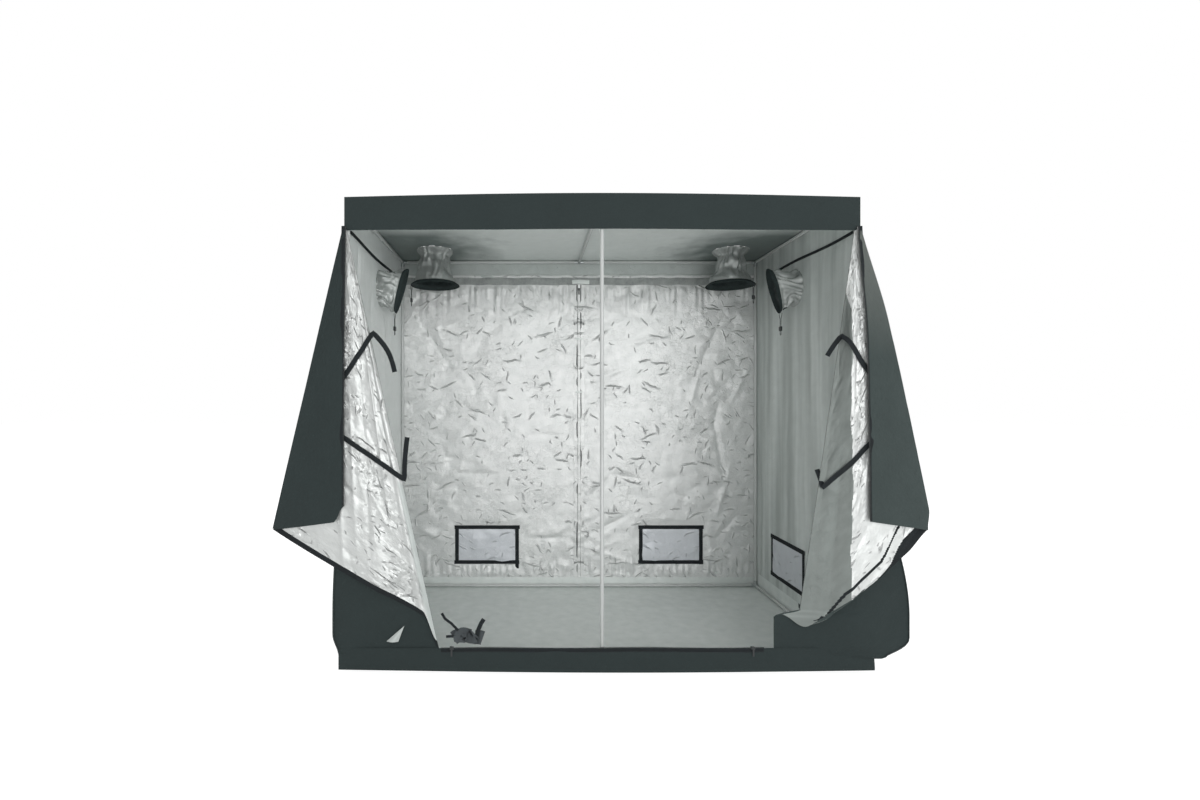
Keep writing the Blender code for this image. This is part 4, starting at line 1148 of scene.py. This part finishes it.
for side, sign in (("left", -1), ("right", 1)):
    us = np.linspace(0, 1, 48)
    vs = rows(gusset_foot, strip_top, 0.014, *np.linspace(bow_foot, bow_top, 5).round(3))
    u, v = np.meshgrid(us, vs)
    drop = ease((1.1 - v) / 0.8) * ease((v - 0.07) / 0.06)
    lift = crumpled(us * 0.5, vs, 41 + sign, 160, 0.5, 0.008) * np.sin(np.pi * np.clip(u, 0, 1)) * drop
    gusset = cloth(f"{side}_gusset_cloth", us[::sign], vs, lambda u, v: gusset_place(u, v, sign),
                   (oxford, smooth_film), lift=lift[:, ::sign], scale=(0.5, 1))
    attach(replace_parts(gusset, f"{side}_gusset"), "tent")

    z = np.linspace(gusset_foot, strip_top, 150)
    edge = line_of(*gusset_place(np.ones(z.shape), z, sign)) + (-sign * 0.0012, 0.0012, 0)
    strip = tape(f"{side}_front_seam", edge, (sign, -1, 0), 0.014, 0.001, oxford)
    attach(strip, "tent")

    seam = hinge_line(gusset_foot, sign)
    beyond = tent_x + billow[sign] * billows(gusset_foot, 0)
    reach = (np.linspace(tent_x - return_width, beyond, 12) - seam) / (beyond - seam)
    front_x = sign * np.linspace(tent_x - return_width, tent_x, 12)
    side_y = np.linspace(-tent_y + 0.004, 0.0, 26)
    outer = np.concatenate([line_of(*gusset_place(reach, np.full(12, gusset_foot), sign)),
                            line_of(*wall_place(side_y, wall_foot, sign))])
    inner = np.concatenate([line_of(*tray_place(front_x, np.full(12, -tent_y - 0.07))),
                            line_of(*tray_place(np.full(26, sign * (tent_x + 0.07)), side_y))])

    def turned_under(u, v):
        k = u.astype(int)
        points = outer[k] + (inner[k] - outer[k]) * v[..., None]
        return points[..., 0], points[..., 1], points[..., 2] - 0.012 * np.sin(np.pi * v)

    under = cloth(f"{side}_foot_return", np.arange(38.0)[::sign], np.linspace(0, 1, 7), turned_under,
                  (oxford, oxford), weight=0.0008, scale=(0.022, 0.06))
    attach(under, "tent")


# Doors: two leaves of lined Oxford, each zipped to the other and to the sill. Opened, a leaf
# folds out over its gusset and back on itself in six layers, which show crinkled film on the
# first and cloth on the last. The left hem is edged with zip tape and the right one with a patch.
flap_corner = (1.52, 0.66)
free_corner = {-1: (1.192, 0.70), 1: (1.213, 0.70)}
hinge_depth = 0.0013
stack_depth = 0.016
first_row = 1.1 * 0.06 / (door_apex[1] - sill_end[1])
layers = 6
hem_length = 2.05
hem_tape = 0.036
knee_x = 1.135
head_draw = {-1: 0.012, 1: 0.022}


def silver_depth(x, z, drop, out, sign):
    """How far forward of the cover's front the silver layer stands.

    The left one rolls over at its hinge line and lies in long pleats. The right one slants out
    to a fold above the corner pole and lies flat beyond it.
    """
    down = ease(drop / 0.35)
    if sign < 0:
        roll = 0.01 * np.sin(np.pi * np.clip(out / 0.1, 0, 1))
        pleat = 0.007 * (1 - np.cos(2 * np.pi * (3.5 * out + 0.2 * drop))) / 2 * ease((0.55 - out) / 0.2)
        return hinge_depth + down * roll + drop * (0.028 * ease(out / 0.5) + pleat)
    seam = hinge_line(z, 1)
    rise = np.clip((x - seam) / np.maximum(knee_x - seam, 0.02), 0, 1)
    return hinge_depth + down * (0.046 * rise ** 1.3 - 0.006 * ease((x - knee_x) / 0.05))


def door_shares(x, z):
    """How far down from the apex and out from the hinge line a place on the door lies."""
    down = (sill_end[0] - door_apex[0], sill_end[1] - door_apex[1])
    out = (flap_corner[0] - sill_end[0], flap_corner[1] - sill_end[1])
    dx, dz = x - door_apex[0], z - door_apex[1]
    area = down[0] * out[1] - down[1] * out[0]
    drop = (dx * out[1] - dz * out[0]) / area
    return drop, (down[0] * dz - down[1] * dx) / area / np.maximum(drop, first_row / 2)


def door_place(s, drop, sign):
    """The leaf's section: s runs 0 to 1 over the silver layer and then 1 for each layer more."""
    layer = np.clip(np.ceil(s) - 1, 0, layers - 1)
    part = s - layer
    hinge = lerp(door_apex, sill_end, drop)
    outer = lerp(door_apex, flap_corner, drop)
    free = lerp(door_apex, free_corner[sign], drop)
    silver = layer == 0
    last = layer == layers - 1
    back = np.where(layer % 2 == 1, part, 1 - part)
    margin = np.where(last, 0.0, 0.08)
    back = np.where(last, back, margin / 2 + back * (1 - margin - 0.06))
    x = np.where(silver, hinge[0] + (outer[0] - hinge[0]) * part, outer[0] + (free[0] - outer[0]) * back)
    z = np.where(silver, hinge[1] + (outer[1] - hinge[1]) * part, outer[1] + (free[1] - outer[1]) * back)
    p = np.clip(part, 0, 1)
    if sign < 0:
        hem = 0.12 * (1 - p) ** 1.3 * ease(p / 0.09)
        z = z + np.where(silver, hem * drop ** 5, 0)
        z = z + np.where(last, 0.065 * drop ** 12 * ease((back - 0.88) / 0.12), 0)
    else:
        hem = 0.15 * (1 - ease(p / 0.22)) - 0.028 * np.sin(np.pi * np.clip((p - 0.1) / 0.9, 0, 1))
        seam = hinge_line(hinge[1] + 0.15 * drop ** 5, 1) - hinge[0]
        x = x + np.where(silver, seam * (1 - p) ** 1.5, 0)
        z = z + np.where(silver, hem * drop ** 5, 0)
        corner = ease((x - 1.4) / 0.12) * ease((drop - 0.93) / 0.07)
        x = x - 0.012 * drop * ease((x - tent_x) / 0.3) - 0.024 * corner
    x = x - head_draw[sign] * (1 - drop) ** 2 * np.where(silver, p, 1)
    d, out = door_shares(x, z)
    d, out = np.clip(d, 0, 1), np.clip(out, 0, 1)
    depth = silver_depth(x, z, d, out, sign) + (layer / (layers - 1)) * stack_depth
    roll = 0.012 * drop * np.sin(np.pi * np.clip(back, 0, 1)) ** 0.7
    return x, depth + np.where(last, roll, 0), z


def hang_on_seam(piece):
    """Bakes a piece's place into its mesh."""
    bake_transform(piece)


def zip_band(u, v, sign):
    """Where the leaf shows black: the zip tape on its hem, and a patch at its outer corner."""
    from_hem = (1 - v) * hem_length
    if sign < 0:
        return (from_hem < hem_tape) & (u < 1)
    patch = 0.1 * ease((u - 0.62) / 0.2)
    inner = 0.026 + 0.06 * ease((u - 0.13) / 0.25)
    line = (from_hem > patch + inner) & (from_hem < patch + inner + 0.023) & (u > 0.15)
    return (u < 1) & ((from_hem < patch) | line)


def lining_strip_and_shade(u, v, sign):
    """Where the second finish goes: right, painted shade from the seam to the corner pole, and left, a plain
    strip by the seam.
    """
    if sign < 0:
        return (u < 0.055) & (v > 0.62) & ~zip_band(u, v, sign)
    x, depth, z = door_place(u, v, sign)
    return (u < 1) & (x < knee_x + 0.004 * np.sin(z * 9) + 0.002 * np.sin(z * 31)) & ~zip_band(u, v, sign)


# Door film: the same silver film, folded many times, so it is glossier and worked all over; the
# left leaf's copy is darker, painted shade. The right leaf's seam side is painted shade, a grey film
# in streaks, and its black outside is a lighter copy of the Oxford with a painted sheen near the top.
# Painted shade: the left leaf's film is a darker copy of the silver film.
shaded_door_film = film_finish("shaded_door_silver_film", "#d2d4d3", "#b4b8b6", 0.38, 0.5,
                        ((0.055, 0.16), (0.021, 0.24), (0.009, 0.2)),
                        ((0.15, 0.006, 0.07, 0.006, 1.6, 0.5), (0.07, 0.006, 0.034, 0.005, 1.6, 0.5),
                         (0.035, 0.004, 0.017, 0.0032, 1.6, 0.5)))
bright_film = film_finish("bright_door_film", "#e6e8e7", "#c2c6c4", 0.42, 0.42,
                          ((0.055, 0.16), (0.021, 0.26), (0.009, 0.22)),
                          ((0.1, 0.006, 0.05, 0.006, 1.6, 0.6), (0.05, 0.005, 0.024, 0.0045, 1.6, 0.6),
                           (0.028, 0.004, 0.014, 0.0032, 1.6, 0.5)))
# Painted shade: the right leaf's seam side, which slants away from the lamp, is drawn in a dark grey film.
shade_grey_film = film_finish("painted_shade_grey_film", "#7c827f", "#666c69", 0.55, 0.4,
                          ((0.09, 0.08), (0.03, 0.06), (0.011, 0.05)), streak_shade="#7f8683")
# Painted light: the right leaf's black is a lighter copy of the Oxford, with a painted sheen near its top.
lit_oxford = oxford_finish("lit_black_oxford", "#374140", "#4b5554", "#7d827e")
leaf_finishes = {-1: (shaded_door_film, oxford, webbing, oxford, smooth_film, oxford),
                 1: (bright_film, lit_oxford, webbing, lit_oxford, shade_grey_film, lit_oxford)}
left_folds = [(0.1, 0.5, 0.13, 1.6, 0.012, 0.008), (0.2, 0.7, 0.24, 1.95, 0.015, -0.008),
              (0.3, 0.9, 0.29, 1.9, 0.012, 0.007), (0.36, 1.55, 0.34, 2.02, 0.009, 0.009),
              (0.03, 1.7, 0.22, 1.98, 0.012, 0.008), (0.42, 1.86, 0.56, 1.9, 0.01, -0.007),
              (0.05, 1.0, 0.2, 1.3, 0.012, -0.005), (0.26, 1.3, 0.12, 1.6, 0.012, 0.006),
              (0.036, 1.2, 0.036, 2.0, 0.008, -0.008), (0.1, 0.95, 0.02, 1.25, 0.008, 0.006)]
leaf_folds = {-1: left_folds, 1: left_folds[5:6]}
leaves = {}
for side, sign in (("left", -1), ("right", 1)):
    hem_start = 1 - hem_tape / hem_length
    us = np.concatenate([np.linspace(0, 1, 118)] + [
        np.linspace(k, k + 1, 26 if k == layers - 1 else 11)[1:] for k in range(1, layers)])
    vs = np.concatenate([np.linspace(first_row, 0.86, 150), np.linspace(0.86, hem_start, 40)[1:],
                         np.linspace(hem_start, 1, 8)[1:]])
    u, v = np.meshgrid(us, vs)
    cut_u, cut_v = us * 0.6, vs * 2.0
    covered = ease((u - 0.55) / 0.1) * (1 - 0.8 * ease((v - 0.93) / 0.05))
    last = ease((u - layers + 1) / 0.1) * ease((layers - u) / 0.05)
    first = ease((1 - u) / 0.06)
    lift = (crumpled(cut_u, cut_v, 51 + sign, 700, 0.22, 0.007, slim=0.1)
            + crumpled(cut_u, cut_v, 57 + sign, 900, 0.1, 0.005, slim=0.14)
            + crumpled(cut_u, cut_v, 55 + sign, 120, 0.5, 0.006, lean=1.4, spread=0.25, slim=0.03)
            + ridges(cut_u, cut_v, leaf_folds[sign]))
    lift = lift * first * (1 - 0.85 * covered) * ease(u / 0.08) * ease(v / 0.3) * ease((1 - v) / 0.006)
    lift += np.abs(crumpled(cut_u, cut_v, 61 + sign, 200, 0.4, 0.004)) * last * ease(v / 0.3)
    lift = np.maximum(lift, np.where(u < 1, -0.006, 0))

    def leaf_place(u, v):
        x, depth, z = door_place(u, v, sign)
        return sign * x, -tent_y - depth, z

    order = slice(None, None, sign)
    leaf = cloth(f"{side}_door_cloth", us[order], vs[::-1], leaf_place, leaf_finishes[sign],
                 lift=lift[::-1, order], scale=(0.6, hem_length),
                 band=lambda u, v: zip_band(u, v, sign) + 2 * lining_strip_and_shade(u, v, sign))
    hang_on_seam(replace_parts(leaf, f"{side}_door"))
    leaves[sign] = leaf

    # Its zip: black teeth along the free edge, with tape beside them.
    free = line_of(*leaf_place(np.array(layers - 1e-6), np.linspace(first_row, 1, 120)))
    free[:, 1] -= 0.0012
    edge_tape = tape(f"{side}_door_edge_tape", free + (sign * 0.009, -0.0004, 0), to_front, 0.018, 0.0008,
                     webbing)
    hang_on_seam(edge_tape)
    edge_teeth = teeth(f"{side}_door_edge_teeth", free - (sign * 0.002, 0, 0), to_front)
    hang_on_seam(edge_teeth)


# Ties: 23 mm black polyester webbing, sewn between the leaf's layers, drawn over its silver side
# and past the hinge line, with a loose tail inside the doorway. Each run gives the height where
# it passes the seam, how far past it goes, the height of its sewn end, and its tail.
tie_width = 0.023
tie_thick = 0.0015
tie_runs = {-1: (("upper", 1.565, 0.018, 1.32, (-0.095, -0.18)),
                 ("lower", 0.885, 0.014, 1.1, (-0.008, 0.195))),
            1: (("upper", 1.55, 0.0, 1.33, (-0.05, -0.09)),
                ("lower", 0.85, -0.016, 1.08, (-0.014, 0.08)))}


def silver_y(leaf, tree, x, z):
    """Where the leaf's silver face stands at a place, looked at from the front."""
    start = Vector((x, -1.0, z))
    for _ in range(12):
        hit, normal, index, gap = tree.ray_cast(start, Vector((0, 1, 0)))
        if hit is None:
            return None
        if leaf.data.polygons[index].material_index in (0, 2, 4) and normal.y < 0:
            return hit.y
        start = hit + Vector((0, 0.0002, 0))
    return None


def lying_on(leaf, tree, path, over_leaf, sign):
    """The y at each place of a path: on the leaf where it lies over it, and then hanging free."""
    depth = []
    for k, (x, z) in enumerate(path):
        run = path[min(k + 1, len(path) - 1)] - path[max(k - 1, 0)]
        aside = np.array((-run[1], run[0])) / np.hypot(*run) * tie_width / 2
        seen = [silver_y(leaf, tree, sign * (x + a * aside[0]), z + a * aside[1]) for a in (-1, 0, 1)]
        seen = [y for y in seen if y is not None] if k < over_leaf else []
        depth.append(min(seen) if seen else None)
    known = [k for k, y in enumerate(depth) if y is not None]
    after = [k for k in range(len(path)) if k > known[-1]]
    for k in after:
        depth[k] = -tent_y - hinge_depth - 0.004 + 0.0016 * max(k - over_leaf, 0)
    depth = np.interp(range(len(path)), known + after, [depth[k] for k in known + after])
    tight = np.array([min(depth[max(k - 1, 0):k + 2]) for k in range(len(path))])
    tight = np.convolve(np.pad(tight, 2, "edge"), np.ones(5) / 5, "valid")
    return np.minimum(tight, depth) - 0.0006


for side, sign in (("left", -1), ("right", 1)):
    leaf = leaves[sign]
    corners = [vert.co for vert in leaf.data.vertices]
    tree = BVHTree.FromPolygons(corners, [tuple(face.vertices) for face in leaf.data.polygons])
    for which, height, over_seam, tuck, tail in tie_runs[sign]:
        peak = np.array((hinge_line(height, sign) - over_seam, height))
        tucked = np.array((free_corner[sign][0] + 0.03, tuck))
        over = [tucked + (peak - tucked) * t for t in np.linspace(0, 1, 34)]
        slack = np.array((-tail[1], tail[0])) * (0.09 if which == "upper" and sign < 0 else 0.02)
        bend = [peak + np.array(tail) * t - slack * math.sin(math.pi * t) for t in np.linspace(0.06, 1, 16)]
        path = np.array(over + bend)
        line = line_of(sign * path[:, 0], lying_on(leaf, tree, path, len(over), sign), path[:, 1])
        made = tape(f"{side}_{which}_tie_webbing", line, to_front, tie_width, tie_thick, webbing)
        hang_on_seam(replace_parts(made, f"{side}_{which}_tie"))


# Sill zip: black coil zip along the top of the tray's front lip, between the two door ends. At
# the left end its spare tape is bunched behind the lip, with its ends sticking up.
# The bunched tape is drawn a paler grey than the other black tape.
paler_tape = oxford_finish("paler_grey_zip_tape", "#43494b", "#5c6164")
tape_ends = ((0.02, ((-0.585, 0.012, 0.155), (-0.576, 0.008, 0.186), (-0.564, 0.004, 0.214),
                     (-0.551, 0.004, 0.234))),
             (0.012, ((-0.745, -0.009, 0.266), (-0.73, -0.008, 0.24), (-0.703, 0.004, 0.214),
                      (-0.672, 0.012, 0.178))),
             (0.012, ((-0.728, 0.01, 0.15), (-0.705, 0.006, 0.153), (-0.68, 0.008, 0.151),
                      (-0.645, 0.014, 0.15))))
x = np.linspace(-sill_end[0] + 0.01, sill_end[0] - 0.01, 220)
sill = line_of(x, -tent_y - 0.0002, 0.0955 + 0.002 * np.sin(x * 9))
made = tape("sill_zip_tape", sill - (0, 0.0008, 0.004), to_front, 0.02, 0.0008, webbing)
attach(made, "tent")
made = teeth("sill_zip_teeth", sill + (0, -0.0004, 0.0062), (0, -0.3, 1))
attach(made, "tent")
share = np.linspace(0, 1, 50)
bunch = line_of(-0.694 + 0.133 * share + 0.012 * np.sin(13 * share),
                -tent_y + 0.016 + 0.011 * np.sin(17 * share),
                0.14 + 0.012 * np.sin(np.pi * share) + 0.005 * np.sin(21 * share))
made = tape("sill_tape_bunch", bunch, (0, -1, 0.35), 0.062, 0.0012, paler_tape)
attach(made, "tent")
for index, (broad, through) in enumerate(tape_ends):
    along = np.linspace(0, 3, 22)
    line = line_of(*(np.interp(along, range(4), way) for way in zip(*through))) + (0, -tent_y, 0)
    made = tape(f"sill_tape_end_{index + 1}", line, (0, -1, 0.2), broad, 0.0012, webbing)
    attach(made, "tent")


# Zip sliders: die-cast zinc, sprayed black, 14 by 18 mm, each with a bridge and a flat pull. The
# spray is glossy, worn to grey in small random patches. One is modelled and copied.
sill_slider_x = 0.7
back_slider_z = 2.0047
sprayed = finish("black_sprayed_zinc", "#191c1d", 0.32, Coat_Weight=0.3)
scuff = noise(sprayed, node(sprayed, "TexCoord").outputs["Object"], 330.0, 5.0, 0.7)
feed(sprayed, Base_Color=mix(sprayed, scuff, "#131617", "#33383a"),
     Roughness=graded(sprayed, scuff, onto=(0.22, 0.5)))
slider = block((0.014, 0.0056, 0.018), (0, -0.0028, 0), 0.0013, narrow=0.7)
join(slider, block((0.0042, 0.003, 0.013), (0, -0.0066, 0), 0.0012))
pull = block((0.008, 0.0016, 0.035), (0, -0.0074, -0.0175), 0.0006)
eye = block((0.0046, 0.01, 0.004), (0, -0.0074, -0.0035), 0.0004)
grip = block((0.005, 0.01, 0.015), (0, -0.0132, -0.024), 0.0004)
cut_by(pull, (eye, grip))


def assembled(name, parts):
    """Copies of modelled parts, each at its own place, joined as one piece."""
    made = []
    for part, place in parts:
        copy = bpy.data.objects.new(name, part.data.copy())
        bpy.context.collection.objects.link(copy)
        copy.data.transform(place)
        made.append(copy)
    join(*made)
    made[0].name = name
    coat(made[0], sprayed)
    return made[0]


lying = Matrix.Rotation(math.pi / 2, 4, "Y")
turned = Matrix.Rotation(math.pi, 4, "Z")
at = Matrix.Translation((0, tent_y - 0.0055, back_slider_z))
made = assembled("back_slider", ((slider, at), (pull, at)))
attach(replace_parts(made, "back_zip_slider"), "back_zip_slider")
for side, sign in (("left", -1), ("right", 1)):
    at = Matrix.Translation((sign * sill_slider_x, -tent_y - 0.0006, tray_rim))
    behind = Matrix.Translation((sign * sill_slider_x, -tent_y + 0.0026, tray_rim))
    made = assembled(f"sill_slider_{side}",
                     ((slider, at @ lying), (pull, at), (slider, behind @ turned @ lying)))
    name = f"sill_zip_slider_{side}"
    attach(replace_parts(made, name), name)
for part in (slider, pull):
    bpy.data.objects.remove(part)


# Turned-out lining: a corner of the left gusset's silver film, 55 mm along its foot and 72 mm
# tall, has rolled out over the cloth where its seam has let go.
corner = np.linspace(0, 1, 12)
low_a, low_b, tip = (-1.003, 0.133), (-0.948, 0.131), (-0.92, 0.205)


def corner_place(u, v):
    """A triangle with u along its foot and v up to its tip, bulging forward at the foot."""
    x = (low_a[0] * (1 - u) + low_b[0] * u) * (1 - v) + tip[0] * v
    z = (low_a[1] * (1 - u) + low_b[1] * u) * (1 - v) + tip[1] * v
    return x, -tent_y - 0.002 - 0.01 * np.sin(np.pi * u) * (1 - v), z


turned_out = cloth("turned_out_lining", corner, corner, corner_place, (smooth_film, oxford), weight=0.0008,
                   scale=(0.08, 0.08))
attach(turned_out, "tent")


# Place and light: a pale floor and backdrop, a broad soft lamp beside the camera, weaker ones
# over the sides and back, and an even sky.
floor_gap = 0.0006
floor_glow, sky_strength, backdrop_strength = 0.84, 0.52, 1.0
pure_white = (1, 1, 1, 1)
lamps = (("front_lamp", (1.9, -8.0, 2.1), (0, 0.4, 1.0), (6.5, 3.4), 262),
         ("left_lamp", (-5.5, 1.2, 3.0), (0, 0, 1.0), (3, 2), 110),
         ("right_lamp", (5.5, 1.2, 3.0), (0, 0, 1.0), (3, 2), 110),
         ("back_lamp", (0.5, 5.0, 3.2), (0, 0, 1.0), (3, 2), 110))


def bare_nodes(holder):
    """Clears a floor's or a sky's shader, and gives it the kinds of ray that it tells apart."""
    holder.use_nodes = True
    holder.node_tree.nodes.clear()
    ray = node(holder, "LightPath").outputs
    return number(holder, "MAXIMUM", ray["Is Camera Ray"], ray["Is Glossy Ray"]), ray


bpy.ops.mesh.primitive_plane_add(size=60, location=(0, 0, -floor_gap))
ground = bpy.context.object
ground.name = "ground"
pale = bpy.data.materials.new("pale_floor")
looked_at, ray = bare_nodes(pale)
lit = node(pale, "BsdfDiffuse", {"Color": linear("#f0f0f0")}).outputs[0]
half_lit = node(pale, "BsdfDiffuse", {"Color": linear("#a8a8a8")}).outputs[0]
glow = node(pale, "Emission", {"Color": pure_white, "Strength": floor_glow}).outputs[0]
shadowed = node(pale, "AddShader", {0: half_lit, 1: glow}).outputs[0]
node(pale, "OutputMaterial", {0: node(pale, "MixShader", {0: looked_at, 1: lit, 2: shadowed}).outputs[0]})
ground.data.materials.append(pale)

world = bpy.data.worlds.new("studio")
bpy.context.scene.world = world
looked_at, ray = bare_nodes(world)
looked_through = number(world, "MAXIMUM", looked_at, ray["Is Transmission Ray"])
sky = node(world, "Background", {"Color": pure_white, "Strength": sky_strength}).outputs[0]
backdrop = node(world, "Background", {"Color": pure_white, "Strength": backdrop_strength}).outputs[0]
node(world, "OutputWorld", {0: node(world, "MixShader", {0: looked_through, 1: sky, 2: backdrop}).outputs[0]})

for name, place, aim, size, power in lamps:
    lamp = bpy.data.lights.new(name, "AREA")
    lamp.shape = "RECTANGLE"
    lamp.size, lamp.size_y = size
    lamp.energy = power
    stand = bpy.data.objects.new(name, lamp)
    bpy.context.collection.objects.link(stand)
    stand.location = place
    stand.rotation_euler = (Vector(aim) - Vector(place)).to_track_quat("-Z", "Y").to_euler()

lens = bpy.data.cameras.new("camera")
lens.lens = 17.1
lens.sensor_width = 36
lens.shift_x = 0.0608
lens.shift_y = 0.0025
camera = bpy.data.objects.new("camera", lens)
bpy.context.collection.objects.link(camera)
camera.location = (-0.35, -3.25, 1.24)
camera.rotation_euler = (math.pi / 2, 0, 0)
bpy.context.scene.camera = camera
bpy.context.scene.view_settings.view_transform = "Standard"

bpy.context.view_layer.update()
